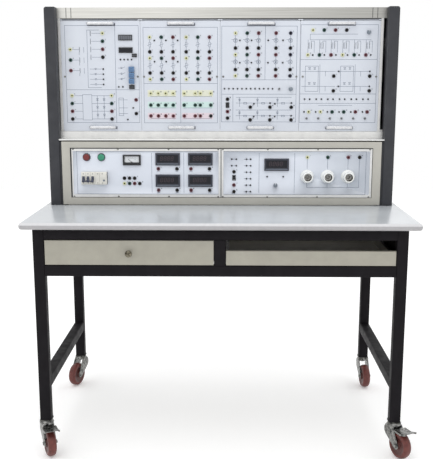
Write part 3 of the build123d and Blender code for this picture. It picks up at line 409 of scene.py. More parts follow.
def roundedTube(low, high, axis, radius, wall, steps=3):
    # a square tube with drawn corners, open at both ends, along axis 0, 1 or 2
    form = bmesh.new()
    first, second = [a for a in (0, 1, 2) if a != axis]
    rings = []
    for by, corner in ((0, radius), (wall, max(radius - wall, 0.4))):
        edges = [(low[a] + by + corner, high[a] - by - corner) for a in (first, second)]
        outline = []
        for quarter, (a, b) in enumerate(((1, 1), (0, 1), (0, 0), (1, 0))):
            for step in range(steps + 1):
                angle = math.radians(90 * (quarter + step / steps))
                outline.append(polar(edges[0][a], edges[1][b], corner, angle))
        for end in (low[axis], high[axis]):
            ring = []
            for a, b in outline:
                place = [0, 0, 0]
                place[axis], place[first], place[second] = end, a, b
                ring.append(form.verts.new(Vector(place) * mm))
            rings.append(ring)
    outerLow, outerHigh, innerLow, innerHigh = rings
    bridge(form, (outerLow, outerHigh, innerHigh, innerLow, outerLow))
    return form


def strokeBlock(start, end, width, front, depth):
    # a flat bar from start to end (x, z), its face at y = front
    start, end = Vector(start), Vector(end)
    along = (end - start).normalized() * (width / 2)
    side = Vector((-along.y, along.x))
    corners = [start - along - side, end + along - side, end + along + side, start - along + side]
    form = bmesh.new()
    rows = [[form.verts.new((c.x * mm, y * mm, c.y * mm)) for c in corners]
            for y in (front, front + depth)]
    form.faces.new(rows[0])
    form.faces.new(rows[1][::-1])
    bridge(form, rows[::-1])
    return form


def joinInto(form, part, matrix=None, material=0):
    if matrix is not None:
        bmesh.ops.transform(part, matrix=matrix, verts=part.verts)
    bmesh.ops.recalc_face_normals(part, faces=part.faces)
    for face in part.faces:
        face.material_index = material
    scratch = bpy.data.meshes.new("scratch")
    part.to_mesh(scratch)
    part.free()
    form.from_mesh(scratch)
    bpy.data.meshes.remove(scratch)


def addBlock(form, low, high, material=0, rounding=0):
    joinInto(form, block(low, high, rounding), material=material)


def addStrokes(form, strokes, width, front, depth, material=0):
    for line in strokes:
        for start, end in zip(line, line[1:]):
            joinInto(form, strokeBlock(start, end, width, front, depth), material=material)


def at(place, y):
    # a move to (x, z) at this depth
    return Matrix.Translation(Vector((place[0], y, place[1])) * mm)


def smoothMesh(name, form, angle):
    mesh = bpy.data.meshes.new(name)
    form.to_mesh(mesh)
    form.free()
    mesh.polygons.foreach_set("use_smooth", [True] * len(mesh.polygons))
    mesh.set_sharp_from_angle(angle=math.radians(angle))
    return mesh


def mountPiece(name, mesh, body, replaced):
    piece = bpy.data.objects.new(name, mesh)
    scene.collection.objects.link(piece)
    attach(piece, body)
    if replaced:
        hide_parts(*replaced)


def newPiece(name, form, finishNames, body, replaced=(), smoothAngle=32):
    mesh = smoothMesh(name, form, smoothAngle)
    for finish in finishNames:
        mesh.materials.append(finishes[finish])
    mountPiece(name, mesh, body, replaced)


def mergedForm(node):
    # a copy of a CAD node's triangles with its points merged
    form = bmesh.new()
    form.from_mesh(frame["nodes"][node].data)
    bmesh.ops.remove_doubles(form, verts=form.verts, dist=0.000005)
    return form


def dressedCopy(name, node, finishNames, body, edge=0.5, steps=2, paint=None, sharp=50):
    # the node's own shape with broken edges; paint picks a finish for a face
    form = mergedForm(node)
    bmesh.ops.dissolve_limit(form, angle_limit=math.radians(0.5), verts=form.verts[:],
                             edges=form.edges[:])
    if edge:
        edges = [e for e in form.edges
                 if len(e.link_faces) == 2 and e.calc_face_angle(0) > math.radians(sharp)]
        bmesh.ops.bevel(form, geom=edges, offset=edge * mm, segments=steps, profile=0.5,
                        affect="EDGES", clamp_overlap=True)
    if paint:
        for face in form.faces:
            face.material_index = paint(face.calc_center_median() / mm, face.normal)
    bmesh.ops.triangulate(form, faces=[face for face in form.faces if len(face.verts) > 4])
    newPiece(name, form, finishNames, body, (node,))


def islandsOf(node):
    # the box of each loose solid in a node, as (low, high) corners in mm
    form = mergedForm(node)
    seen, boxes = set(), []
    for start in form.verts:
        if start in seen:
            continue
        seen.add(start)
        queue, points = [start], []
        while queue:
            vertex = queue.pop()
            points.append(vertex.co / mm)
            fresh = {link.other_vert(vertex) for link in vertex.link_edges} - seen
            seen |= fresh
            queue += fresh
        boxes.append([tuple(pick(p[i] for p in points) for i in range(3)) for pick in (min, max)])
    form.free()
    return boxes


def boxMm(node):
    low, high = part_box(node)
    return [v / mm for v in low], [v / mm for v in high]


# Leg frame: drawn square tube, its corners rounded as the mill leaves them

tubeSizes = {"side": 40, "wall": 2, "corner": 4}
frameLow, frameHigh = boxMm("frame_rails")


def buildTubes(name, node, runs):
    form = bmesh.new()
    for low, high, axis in runs:
        joinInto(form, roundedTube(low, high, axis, tubeSizes["corner"], tubeSizes["wall"]))
    newPiece(name, form, ["charcoalPowderCoat"], "root", (node,))


def buildLegFrame():
    side = tubeSizes["side"]
    buildTubes("leg_tubes", "legs", [(*box, 2) for box in islandsOf("legs")])
    buildTubes("stretcher_tubes", "side_stretchers", [(*box, 1) for box in islandsOf("side_stretchers")])
    inner, half = frameHigh[0] - side, side / 2
    front, rear = ((y, y + side) for y in (frameLow[1], frameHigh[1] - side))
    upper, lower = ((z, z + side) for z in (frameHigh[2] - side, frameLow[2]))
    runs = []
    for height in (upper, lower):
        for depth in (front, rear):
            runs.append(((-inner, depth[0], height[0]), (inner, depth[1], height[1]), 0))
        for x in (frameLow[0], inner):
            runs.append(((x, front[1], height[0]), (x + side, rear[0], height[1]), 1))
    runs.append(((-half, front[1], lower[0]), (half, rear[0], lower[1]), 1))
    runs.append(((-half, front[0], lower[1]), (half, front[1], upper[0]), 2))
    buildTubes("rail_tubes", "frame_rails", runs)


buildLegFrame()


# Thin sheets close the drawer bay at its ends and its back, between the two rails

sheet = {"thick": 1.5, "setback": 20}


def buildBaySheets():
    side, thick, setback = tubeSizes["side"], sheet["thick"], sheet["setback"]
    low, high = frameLow[2] + side, frameHigh[2] - side
    front, rear = frameLow[1] + side, frameHigh[1] - side
    form = bmesh.new()
    for end in (-1, 1):
        edges = sorted(end * (frameHigh[0] - setback - t) for t in (0, thick))
        addBlock(form, (edges[0], front, low), (edges[1], rear, high))
    inner = frameHigh[0] - side
    addBlock(form, (-inner, rear + setback, low), (inner, rear + setback + thick, high))
    newPiece("bay_sheets", form, ["charcoalPowderCoat"], "root")


buildBaySheets()
dressedCopy("rack_tubes", "rack_posts", ["slatePowderCoat"], "root", edge=1.6, steps=3)


# The worktop's laminate is wrapped round a nose: a flat top, a painted highlight on the upper
# half of the nose and painted shade on the band under it

nose = {"rounding": 11, "steps": 7, "flat": 0.97, "upper": 0.2}


def buildWorktop():
    form = block(*boxMm("worktop"), nose["rounding"], nose["steps"])
    for face in form.faces:
        rise = face.normal.z
        # the upper nose takes a lighter tone as a painted highlight, the band under it a darker tone as
        # painted shade
        face.material_index = 0 if rise > nose["flat"] else 1 if rise > nose["upper"] else 2
    newPiece("bench_top", form, ["greyLaminate", "noseLaminate", "edgeBand"], "root",
             ("worktop",))


buildWorktop()
dressedCopy("drawer", "drawer_box", ["puttyPowderCoat"], "drawer", edge=0.4)
dressedCopy("pull_out_tray", "keyboard_tray", ["puttyPowderCoat"], "keyboard_tray",
            edge=0.4)
dressedCopy("cabinet_shell", "power_cabinet", ["cabinetPowderCoat"], "root", edge=0.8)
print("frame, worktop, drawer, tray and rack")


# Drawer knob: spun steel, nickel-plated, with a domed face

knob = {"foot": 8.5, "neck": 6, "head": 12.5, "brim": 17, "reach": 24, "sides": 40}


def buildDrawerKnob():
    low, high = boxMm("drawer_knob")
    foot, neck, head, brim, reach = (knob[key] for key in ("foot", "neck", "head", "brim", "reach"))
    profile = [(0, 0), (foot, 0), (foot, 1.5), (neck, 3), (neck - 0.6, 10), (head - 1, brim - 1.5),
               (head, brim)]
    for degrees in range(15, 90, 15):
        angle = math.radians(degrees)
        profile.append((head * math.cos(angle), brim + (reach - brim) * math.sin(angle)))
    profile.append((0, reach))
    form = bmesh.new()
    joinInto(form, lathe(softCorners(profile, 1.6), knob["sides"]), at(middle(low, high), high[1]))
    newPiece("spun_knob", form, ["agedNickel"], "drawer", ("drawer_knob",))


buildDrawerKnob()


# Mains panels: white print inside a raised aluminium edge

panelRim = 1.5           # how far the edge stands in front of the print
panelLow, panelHigh = boxMm("power_panels")
panelFace = panelLow[1] + panelRim
panelMiddle = (panelLow[2] + panelHigh[2]) / 2


def panelFinish(centre, normal):
    return 1 if normal.y < -0.9 and centre.y > panelFace - 0.2 else 0


dressedCopy("mains_panels", "power_panels", ["anodisedAluminium", "printedMainsPanel"], "root",
            edge=0, paint=panelFinish)


# The dark rubber edging of the cabinet's window, widened at the left and the top by a painted
# shadow, and the dark gaps beside the cabinet

edgingAndShadow = {"left": 4.2, "top": 2.94, "narrow": 1, "proud": 0.8, "depth": 1.6, "joint": 1.6}
strip = {"wide": 7, "recess": 5, "thick": 8}


def buildPanelTrim():
    front = panelLow[1] - edgingAndShadow["proud"]
    left, right, low, high = panelLow[0], panelHigh[0], panelLow[2], panelHigh[2]
    wide, narrow, joint = edgingAndShadow["left"], edgingAndShadow["narrow"], edgingAndShadow["joint"]
    form = bmesh.new()
    # the left and top strips are wider than the edging: the extra width is painted shadow
    for x0, x1, z0, z1 in ((left, left + wide, low, high), (left + wide, right, high - edgingAndShadow["top"], high),
                           (right - narrow, right, low, high - wide),
                           (left + wide, right, low, low + narrow),
                           (-joint, joint, low + narrow, high - wide)):
        addBlock(form, (x0, front, z0), (x1, front + edgingAndShadow["depth"], z1))
    newPiece("panel_edging", form, ["blackCap"], "root")


def buildGapStrips():
    low, high = boxMm("power_cabinet")
    front = low[1] + strip["recess"]
    form = bmesh.new()
    for side in (-1, 1):
        edge, inner = sorted((side * high[0], side * (high[0] - strip["wide"])))
        addBlock(form, (edge, front, low[2]), (inner, front + strip["thick"], high[2]))
    newPiece("cabinet_side_strips", form, ["slatePowderCoat"], "root")


buildPanelTrim()
buildGapStrips()


# Digital meters: a bezel, a tinted window, four unlit digits and a snap-on frame's seam

meter = {"chamfer": 1.6, "windowSide": 7, "windowHeight": 30, "windowLift": 2, "windowDepth": 2.6,
         "digitHeight": 15, "digitWidth": 8.4, "digitPitch": 14, "digits": 4, "stroke": 1.5, "gap": 0.9,
         "lean": 0.14, "seamIn": 5, "seamHigh": 2.2, "widerThan": 80}
# a digit's seven segments, from corner to corner of a unit square
segments = (((0, 1), (1, 1)), ((0, 0.5), (1, 0.5)), ((0, 0), (1, 0)), ((0, 0.5), (0, 1)),
            ((1, 0.5), (1, 1)), ((0, 0), (0, 0.5)), ((1, 0), (1, 0.5)))


def buildDigitalMeter(form, low, high):
    front, chamfer, edge = low[1], meter["chamfer"], meter["windowSide"]
    x, z = middle(low, high)
    z += meter["windowLift"]
    half = meter["windowHeight"] / 2
    opening = (low[0] + edge, 0, z - half), (high[0] - edge, 0, z + half)
    glass = front + meter["windowDepth"]
    rings = [inset(low, high, by, y) for by, y in (
        (0, panelFace), (0, front + chamfer), (chamfer * 0.3, front + chamfer * 0.3), (chamfer, front))]
    rings += [inset(*opening, by, y) for by, y in ((-1, front), (0, front + 0.8), (0, panelFace))]
    joinInto(form, boxRings(rings))
    addBlock(form, (opening[0][0], glass, z - half), (opening[1][0], glass + 1.2, z + half), 1)
    wide, tall, stroke = meter["digitWidth"], meter["digitHeight"], meter["stroke"]
    left = x - (meter["digits"] - 1) * meter["digitPitch"] / 2 - wide / 2 - 4
    foot = z - tall / 2 + 1
    for digit in range(meter["digits"]):
        for ends in segments:
            start, end = (Vector((left + (a * wide + meter["lean"] * b * tall), foot + b * tall))
                          for a, b in ends)
            gap = (end - start).normalized() * (meter["gap"] + stroke / 2)
            joinInto(form, strokeBlock(start + gap, end - gap, stroke, glass - 0.12, 0.2), material=2)
        left += meter["digitPitch"]
    seam = low[2] + meter["seamIn"]
    addBlock(form, (low[0] + meter["seamIn"], front - 0.12, seam),
             (high[0] - meter["seamIn"], front + 0.3, seam + meter["seamHigh"]), 6)


# Analog meter: black case, white scale with plain numbers, dark cover over the movement

analog = {"frame": 6.5, "windowHeight": 27, "windowLift": 1.5, "cover": 2.5, "plate": 3, "chamfer": 1.4,
          "start": 45, "end": 135, "ticks": 25, "tickIn": 22.5, "tickOut": 25.5, "line": 0.35,
          "numbers": (0, 10, 20, 30, 40, 50), "numberRadius": 17.6, "numberHeight": 2.6}
# polylines of plain digits, one wide and two high
digitStrokes = {"0": [[(0, 0), (1, 0), (1, 2), (0, 2), (0, 0)]], "1": [[(0.5, 0), (0.5, 2)]],
                "2": [[(0, 2), (1, 2), (1, 1), (0, 1), (0, 0), (1, 0)]],
                "3": [[(0, 2), (1, 2), (1, 0), (0, 0)], [(0, 1), (1, 1)]],
                "4": [[(0, 2), (0, 1), (1, 1)], [(1, 2), (1, 0)]],
                "5": [[(1, 2), (0, 2), (0, 1), (1, 1), (1, 0), (0, 0)]],
                "6": [[(1, 2), (0, 2), (0, 0), (1, 0), (1, 1), (0, 1)]],
                "7": [[(0, 2), (1, 2), (1, 0)]],
                "8": [[(0, 0), (1, 0), (1, 2), (0, 2), (0, 0)], [(0, 1), (1, 1)]],
                "9": [[(1, 1), (0, 1), (0, 2), (1, 2), (1, 0), (0, 0)]]}


def numberStrokes(number, x, z, height):
    # a plain number centred on (x, z)
    width = height * 0.45
    digits = str(number)
    start = x - (len(digits) * width * 1.5 - width * 0.5) / 2
    strokes = []
    for index, digit in enumerate(digits):
        left = start + index * width * 1.5
        for line in digitStrokes[digit]:
            strokes.append([(left + a * width, z + (b / 2 - 0.5) * height) for a, b in line])
    return strokes


def scaleAngle(share):
    return math.radians(analog["end"] - (analog["end"] - analog["start"]) * share)


def buildAnalogMeter(form, low, high, pivot):
    front, edge = low[1], analog["frame"]
    z = middle(low, high)[1] + analog["windowLift"]
    left, right = low[0] + edge, high[0] - edge
    bottom, top = z - analog["windowHeight"] / 2, z + analog["windowHeight"] / 2
    plate = panelFace - analog["plate"]
    rings = [inset(low, high, by, y) for by, y in (
        (0, panelFace), (0, front + analog["chamfer"]), (analog["chamfer"], front))]
    rings += [inset((left, 0, bottom), (right, 0, top), by, y)
              for by, y in ((-1, front), (0, front + 1), (0, panelFace))]
    joinInto(form, boxRings(rings), material=3)
    addBlock(form, (left, plate, bottom), (right, plate + 1.5, top), 4)
    addBlock(form, (left, front + 1.2, bottom), (right, plate, bottom + analog["cover"]), 3, 0.4)
    arcs = []
    for tick in range(analog["ticks"] + 1):
        angle = scaleAngle(tick / analog["ticks"])
        outer = min(analog["tickOut"], (top - 1 - pivot[1]) / math.sin(angle))
        inner = min(analog["tickIn"] - (1.4 if tick % 5 == 0 else 0), outer - 1.2)
        arcs.append([polar(*pivot, radius, angle) for radius in (inner, outer)])
    for index, number in enumerate(analog["numbers"]):
        place = polar(*pivot, analog["numberRadius"], scaleAngle(index / (len(analog["numbers"]) - 1)))
        arcs += numberStrokes(number, *place, analog["numberHeight"])
    addStrokes(form, arcs, analog["line"], plate - 0.08, 0.1, 5)


def buildMeters():
    form = bmesh.new()
    hinge = joints["meter_needle_swing"]["pos_m"]
    for low, high in islandsOf("panel_meters"):
        if high[0] - low[0] > meter["widerThan"]:
            buildDigitalMeter(form, low, high)
        else:
            buildAnalogMeter(form, low, high, (hinge[0] / mm, hinge[2] / mm))
    newPiece("meter_fronts", form,
             ["meterPlastic", "displayWindow", "segmentRed", "blackCap", "scaleWhite", "darkInk",
              "knobGrey"], "root", ("panel_meters",))


buildMeters()
print("meters")


# Push buttons: crowned caps in dark collars

button = {"radius": 13, "reach": 11, "crown": 1.6, "travel": 4.4, "collar": 13.6, "collarHigh": 5}


def buildButtons():
    r, reach, bore, rim = button["radius"], button["reach"], button["collar"], button["collarHigh"]
    profile = [(0, button["travel"]), (r - 0.3, button["travel"]), (r - 0.3, reach - 3),
               (r - 1.4, reach - button["crown"]), (r - 4, reach - 0.6), (r - 8, reach - 0.1), (0, reach)]
    for name, colour in (("stop", "red"), ("start", "green")):
        node = f"{name}_button"
        form = bmesh.new()
        joinInto(form, lathe(softCorners(profile, 0.8), 40), at(middle(*boxMm(node)), panelFace))
        newPiece(f"{name}_cap", form, [f"button{colour.title()}"], node, (node,))
    form = bmesh.new()
    for low, high in islandsOf("button_collars"):
        outer = (high[0] - low[0]) / 2
        profile = [(bore, 0), (outer, 0), (outer, 2.4), (outer - 1.2, rim), (bore, rim), (bore - 0.2, 1)]
        joinInto(form, lathe(softCorners(profile, 0.5), 48, closed=True),
                 at(middle(low, high), panelFace))
    newPiece("button_bezels", form, ["meterPlastic"], "root", ("button_collars",))


buildButtons()


# Lamp holders: glazed porcelain round a pressed brass screw shell

lamp = {"base": 27, "foot": 8, "mouth": 18, "height": 44, "bore": 14.5, "shellDepth": 27,
        "shell": 14.05, "shellWall": 0.3, "threadPitch": 3.62, "threadDepth": 0.55, "rings": 40}


def buildLampHolders():
    porcelain, shells, contacts = bmesh.new(), bmesh.new(), bmesh.new()
    base, mouth, height, bore = lamp["base"], lamp["mouth"], lamp["height"], lamp["bore"]
    step = height - lamp["shellDepth"]
    outside = [(0, 0), (base - 0.6, 0), (base, 1.4), (base, lamp["foot"]), (base - 1.6, 13),
               (20.8, 26), (20.2, 32), (19.9, 39), (19.4, height - 1.2), (mouth, height),
               (bore + 1, height), (bore, height - 1.2), (bore, step), (0, step)]
    floor, edge = step + 1, height - 3

    def thread(radius, reach, angle):
        phase = math.tau * reach / lamp["threadPitch"] - angle
        depth = lamp["threadDepth"] if floor + 3 < reach < edge - 1 else 0
        return radius - depth * (0.5 - 0.5 * math.cos(phase))

    rise = [floor + i * (edge - floor) / lamp["rings"] for i in range(lamp["rings"] + 1)]
    shell = [(lamp["shell"], z) for z in rise]
    shell += [(lamp["shell"] - lamp["shellWall"], z) for z in reversed(rise)]
    contact = [(0, floor), (8, floor), (8, floor + 0.6), (5, floor + 0.8), (5, floor + 1.6),
               (3.5, floor + 2), (0, floor + 2)]
    for box in islandsOf("lamp_holders"):
        place = at(middle(*box), panelFace)
        joinInto(porcelain, lathe(softCorners(outside, 1.6, 4), 56), place)
        joinInto(shells, lathe(shell, 48, closed=True, wave=thread), place)
        joinInto(contacts, lathe(contact, 32), place)
    newPiece("lamp_porcelain", porcelain, ["glazedPorcelain"], "root", ("lamp_holders",))
    newPiece("lamp_contacts", contacts, ["screwSteel"], "root")
    newPiece("lamp_screw_shells", shells, ["pressedBrass"], "root", ("lamp_shells",), 60)


buildLampHolders()
print("buttons and lamp holders")


# Breaker: moulded body, seams between the poles, terminals, and a dark block at the right
# of the residual current block that is a painted shadow beside the body

breaker = {"pole": 18, "poles": 5, "seams": (1, 2, 4), "seamHalf": 0.25, "terminal": 2.6,
           "terminalIn": 6.5, "blockShift": 2}
breakerLow, breakerHigh = boxMm("breaker_body")


def buildBreaker():
    dressedCopy("breaker_case", "breaker_body", ["breakerIvory"], "root", edge=0.7)
    dressedCopy("breaker_toggle", "breaker_lever", ["leverBlue"], "breaker_lever", edge=0.8)
    form = bmesh.new()
    left, front, low = breakerLow
    high, half, radius = breakerHigh[2], breaker["seamHalf"], breaker["terminal"]
    for pole in breaker["seams"]:
        x = left + pole * breaker["pole"]
        addBlock(form, (x - half, front - 0.05, low + 1.2), (x + half, front + 0.3, high - 1.2))
    dot = [(0, 0), (radius, 0), (radius, 0.12), (0, 0.12)]
    for pole in range(breaker["poles"]):
        x = left + (pole + 0.5) * breaker["pole"] + (breaker["blockShift"] if pole > 2 else 0)
        for z in (low + breaker["terminalIn"], high - breaker["terminalIn"]):
            joinInto(form, lathe(dot, 20), at((x, z), front), 1)
    # painted shadow: a dark block along the right side of the breaker body
    addBlock(form, (breakerHigh[0] - 0.6, front + 1.5, low + 1),
             (breakerHigh[0] + 1.4, front + 9, high + 0.5))
    newPiece("breaker_marks", form, ["blackCap", "terminalGrey"], "root")


buildBreaker()


# Turning knobs: fluted grips with a white pointer line

grip = {"radius": 8, "height": 13, "flutes": 18, "fluteDepth": 0.45, "sides": 72, "pointer": 0.7}


def buildKnobs():
    radius, height, half = grip["radius"], grip["height"], grip["pointer"]
    profile = [(0, 0), (radius, 0), (radius, 1.2), (7.9, 1.6), (7.6, 10.8), (7.3, 11.2), (6.4, height),
               (5.2, height), (4.8, height - 0.5), (0, height - 0.5)]

    def flute(radius, reach, angle):
        cut = grip["fluteDepth"] if 1.5 < reach < 11 and radius > 7 else 0
        return radius - cut * (0.5 - 0.5 * math.cos(grip["flutes"] * angle))

    for name in ("load_knob", "module_3_knob", "module_4_knob"):
        low, high = boxMm(name)
        x, z, base = middle(low, high)[0], low[2] + radius, high[1]
        form = bmesh.new()
        joinInto(form, lathe(profile, grip["sides"], wave=flute), at((x, z), base))
        addBlock(form, (x - half, base - height - 0.4, z + 3), (x + half, base - 3, z + 8.6), 1, 0.2)
        newPiece(f"{name}_grip", form, ["knobGrey", "scaleWhite"], name, (name,))


buildKnobs()


# Toggle levers: turned, chromed, tapering to the ball

toggle = {"ball": 2.5, "neck": 1.25, "neckAt": 2.6, "tip": 2.1, "length": 15, "tilt": 13, "sides": 20}


def buildToggles():
    tip, length = toggle["tip"], toggle["length"]
    ball = [polar(0, 0, toggle["ball"], math.radians(angle)) for angle in range(-90, 72, 18)]
    arc = [polar(0, length - tip, tip, math.radians(angle)) for angle in range(0, 90, 18)]
    profile = ball + [(toggle["neck"], toggle["neckAt"])] + arc + [(0, length)]
    for name in ["module_3_toggle"] + [f"channel_toggle_{i}" for i in range(1, 7)]:
        pivot = Vector(joints[f"{name}_throw"]["pos_m"])
        form = bmesh.new()
        joinInto(form, lathe(profile, toggle["sides"]),
                 Matrix.Translation(pivot) @ Matrix.Rotation(math.radians(toggle["tilt"]), 4, "X"))
        newPiece(f"{name}_lever", form, ["chromePlate"], name, (name,))


# Painted shadow: dark pads under the module handles, showing below the bar and at its right end, stand in
# for the shadow the bars cast

shadowPad = {"below": 2.6, "right": 2.8, "thick": 1.2, "left": 1, "top": 2, "rounding": 0.4}


def buildHandles():
    bodies = [f"module_{number}" for number in modules]
    for body in bodies:
        dressedCopy(f"{body}_grips", f"{body}_handles", ["handleAluminium"], body, edge=1.6,
                    steps=3, sharp=40)
    for body in bodies:
        form = bmesh.new()
        # each pad is a painted shadow under and to the right of a handle bar
        for low, high in islandsOf(f"{body}_handles"):
            addBlock(form, (low[0] - shadowPad["left"], high[1] - shadowPad["thick"], low[2] - shadowPad["below"]),
                     (high[0] + shadowPad["right"], high[1], high[2] - shadowPad["top"]), 0, shadowPad["rounding"])
        newPiece(f"{body}_handle_pads", form, ["meterPlastic"], body)


buildToggles()
for name in ("power_rocker", "module_3_rocker"):
    dressedCopy(f"{name}_cap", name, ["socketBlack"], name, edge=0.5, sharp=20)
buildHandles()
print("breaker, knobs, toggles, rockers and handles")


# Castors

wheel = {"radius": 50, "half": 16, "rim": 36, "hub": 15, "bore": 4.3, "recess": 4}


def buildCastors():
    r, half, rim, hub, bore = (wheel[key] for key in ("radius", "half", "rim", "hub", "bore"))
    recess = half - wheel["recess"]
    # one side of each profile, from the middle of the wheel to its hub or its tread
    side = [(bore, half + 2), (10, half + 2), (hub, half + 0.6), (hub + 1, recess), (30, recess + 0.6),
            (rim - 1.5, half - 1.2), (rim + 0.4, half - 1.2)]
    core = [(radius, -reach) for radius, reach in side] + side[::-1]
    shoulder = [(rim, half - 0.6), (r - 9, half), (r - 3.5, half - 3), (r - 0.8, half - 9)]
    tread = [(radius, -reach) for radius, reach in shoulder] + [(r, 0)] + shoulder[::-1]
    for corner in ("front_left", "front_right", "rear_left", "rear_right"):
        hinge = joints[f"{corner}_wheel_roll"]
        axis = Vector(hinge["axis"]).normalized()
        matrix = (Matrix.Translation(Vector(hinge["pos_m"]))
                  @ Vector((0, 1, 0)).rotation_difference(axis).to_matrix().to_4x4())
        form = bmesh.new()
        joinInto(form, lathe(softCorners(tread, 2.4, 3), 96, closed=True), matrix, 0)
        joinInto(form, lathe(softCorners(core, 0.8, 2), 64, closed=True), matrix, 1)
        node = f"{corner}_wheel"
        newPiece(f"{corner}_roller", form, ["castPolyurethane", "wheelCore"], node, (node,))
        dressedCopy(f"{corner}_yoke", f"{corner}_fork", ["zincPlate"], f"{corner}_swivel",
                    edge=0.7, sharp=45)
    for corner in ("front_left", "front_right"):
        node = f"{corner}_brake"
        dressedCopy(f"{corner}_pedal", node, ["zincPlate"], node, edge=0.6, sharp=45)


buildCastors()
print("castors")


# What repeats is stamped by one Geometry Nodes tree

def buildStampTree():
    tree = bpy.data.node_groups.new("stampOnPlaces", "GeometryNodeTree")
    sockets = {}
    tree.interface.new_socket("Geometry", in_out="INPUT", socket_type="NodeSocketGeometry")
    for name, kind in (("Stamp", "Object"), ("Finish", "Material"), ("Size", "Float"), ("Turn", "Float"),
                       ("Seed", "Int")):
        sockets[name] = tree.interface.new_socket(name, in_out="INPUT",
                                                  socket_type=f"NodeSocket{kind}").identifier
    tree.interface.new_socket("Geometry", in_out="OUTPUT", socket_type="NodeSocketGeometry")
    given = addNode(tree, "NodeGroupInput").outputs
    stamp = addNode(tree, "GeometryNodeObjectInfo", links={"Object": given["Stamp"]})
    # each stamp is turned about Y by up to this much either way
    back = addNode(tree, "ShaderNodeMath", {"operation": "MULTIPLY", 1: -1.0}, {0: given["Turn"]})
    turn = addNode(tree, "FunctionNodeRandomValue", {"data_type": "FLOAT"},
                   {2: back.outputs[0], 3: given["Turn"], 8: given["Seed"]})
    rotation = addNode(tree, "ShaderNodeCombineXYZ", links={"Y": turn.outputs[1]})
    placed = addNode(tree, "GeometryNodeInstanceOnPoints",
                     links={"Points": given["Geometry"], "Instance": stamp.outputs["Geometry"],
                            "Rotation": rotation.outputs["Vector"], "Scale": given["Size"]})
    real = addNode(tree, "GeometryNodeRealizeInstances", links={"Geometry": placed.outputs["Instances"]})
    dressed = addNode(tree, "GeometryNodeSetMaterial",
                      links={"Geometry": real.outputs["Geometry"], "Material": given["Finish"]})
    addNode(tree, "NodeGroupOutput", links={0: dressed.outputs["Geometry"]})
    return tree, sockets


stampTree, stampSockets = buildStampTree()


def stampObject(name, profile, sides):
    form = lathe(profile, sides)
    bmesh.ops.recalc_face_normals(form, faces=form.faces)
    stamp = bpy.data.objects.new(name, smoothMesh(name, form, 35))
    scene.collection.objects.link(stamp)
    return stamp


def stampPiece(name, stamp, places, finish, body, replaced=(), turn=0.0, seed=1, size=1.0):
    points = bpy.data.meshes.new(f"{name}_places")
    points.from_pydata([Vector(place) * mm for place in places], [], [])
    carrier = bpy.data.objects.new(f"{name}_carrier", points)
    scene.collection.objects.link(carrier)
    modifier = carrier.modifiers.new("stamps", "NODES")
    modifier.node_group = stampTree
    values = {"Stamp": stamps[stamp], "Finish": finishes[finish], "Size": size, "Turn": turn, "Seed": seed}
    for label, value in values.items():
        modifier[stampSockets[label]] = value
    evaluated = carrier.evaluated_get(bpy.context.evaluated_depsgraph_get())
    mesh = bpy.data.meshes.new_from_object(evaluated)
    bpy.data.objects.remove(carrier)
    mesh.name = name
    mountPiece(name, mesh, body, replaced)


# Shrouded 4 mm sockets with their contacts, 2 mm jacks and pan-head screws

stampProfiles = {
    "shroud": ([(7, 0), (7, 3.2), (6.3, 4), (3.4, 4), (3.1, 3.4), (3.1, 0.3)], 14),
    "contact": ([(3, 0.2), (3, 0.9), (1.9, 0.9), (1.9, 0.4), (0, 0.4)], 10),
    "jack": ([(3.3, 0), (3.3, 2.4), (2.7, 3), (1.3, 3), (1.2, 1), (0, 1)], 10),
    "screw": ([(3.1, 0), (3.1, 0.7), (2.4, 1.5), (0, 1.9)], 12)}
stamps = {name: stampObject(f"{name}Stamp", *shape) for name, shape in stampProfiles.items()}
tones = {"y": "yellow", "g": "green", "r": "red", "k": "black"}

# colour of each row of sockets: height from the middle of the face, then left to right
socketRows = {
    1: [(164, "y"), (134, "g"), (103.5, "yr"), (74, "k"), (63, "g"), (23, "r"), (-73, "yy"), (-89, "r"),
        (-103, "gg"), (-133, "rr"), (-142, "k"), (-163, "kk")],
    2: [(149, "ygrygr"), (94, "kkkkkk"), (70, "ygrygr"), (14, "kkkkkk"), (-10, "ygrygr"),
        (-64, "yyyyyyyy"), (-109, "gggggggg"), (-151, "rrrrrrrk")],
    3: [(164, "ygrrb"), (108, "kkkkk"), (83, "ygrrb"), (27, "kkkkk"), (3, "ygrrb"), (-86, "k"),
        (-117, "kkk"), (-134, "r"), (-159, "k"), (-166, "kkk")],
    4: [(175, "ygrk"), (82, "ygrygr"), (2, "kk"), (-54, "kk"), (-135, "yyggrr")],
    "mains": [(62, "ygrk"), (16, "rkrk"), (5, "k"), (-21, "kkk"), (-42, "ygrk"), (-47, "r"),
              (-68, "rkrk"), (-73, "k")]}
rowReach = 3.4
# a loose solid deeper than this is of that kind; the displays are told by their width
depthKinds = ((12, "relay"), (5.5, "block"), (4.5, "bush"), (3.5, "socket"), (2.5, "jack"), (0, "frame"))
displayWidth = 40


def sortFittings(node):
    kinds = {kind: [] for kind in ("display", *(kind for least, kind in depthKinds))}
    for low, high in islandsOf(node):
        kind = "display"
        if high[0] - low[0] <= displayWidth:
            kind = next(kind for least, kind in depthKinds if high[1] - low[1] > least)
        kinds[kind].append((middle(low, high), low, high))
    return kinds


def toneSockets(centres, rows, middleZ):
    toned = {tone: [] for tone in "ygrkb"}
    for height, letters in rows:
        row = sorted(centre for centre in centres if abs(centre[1] - middleZ - height) < rowReach)
        for index, centre in enumerate(row):
            toned[letters[min(index, len(letters) - 1)]].append(centre)
    return toned


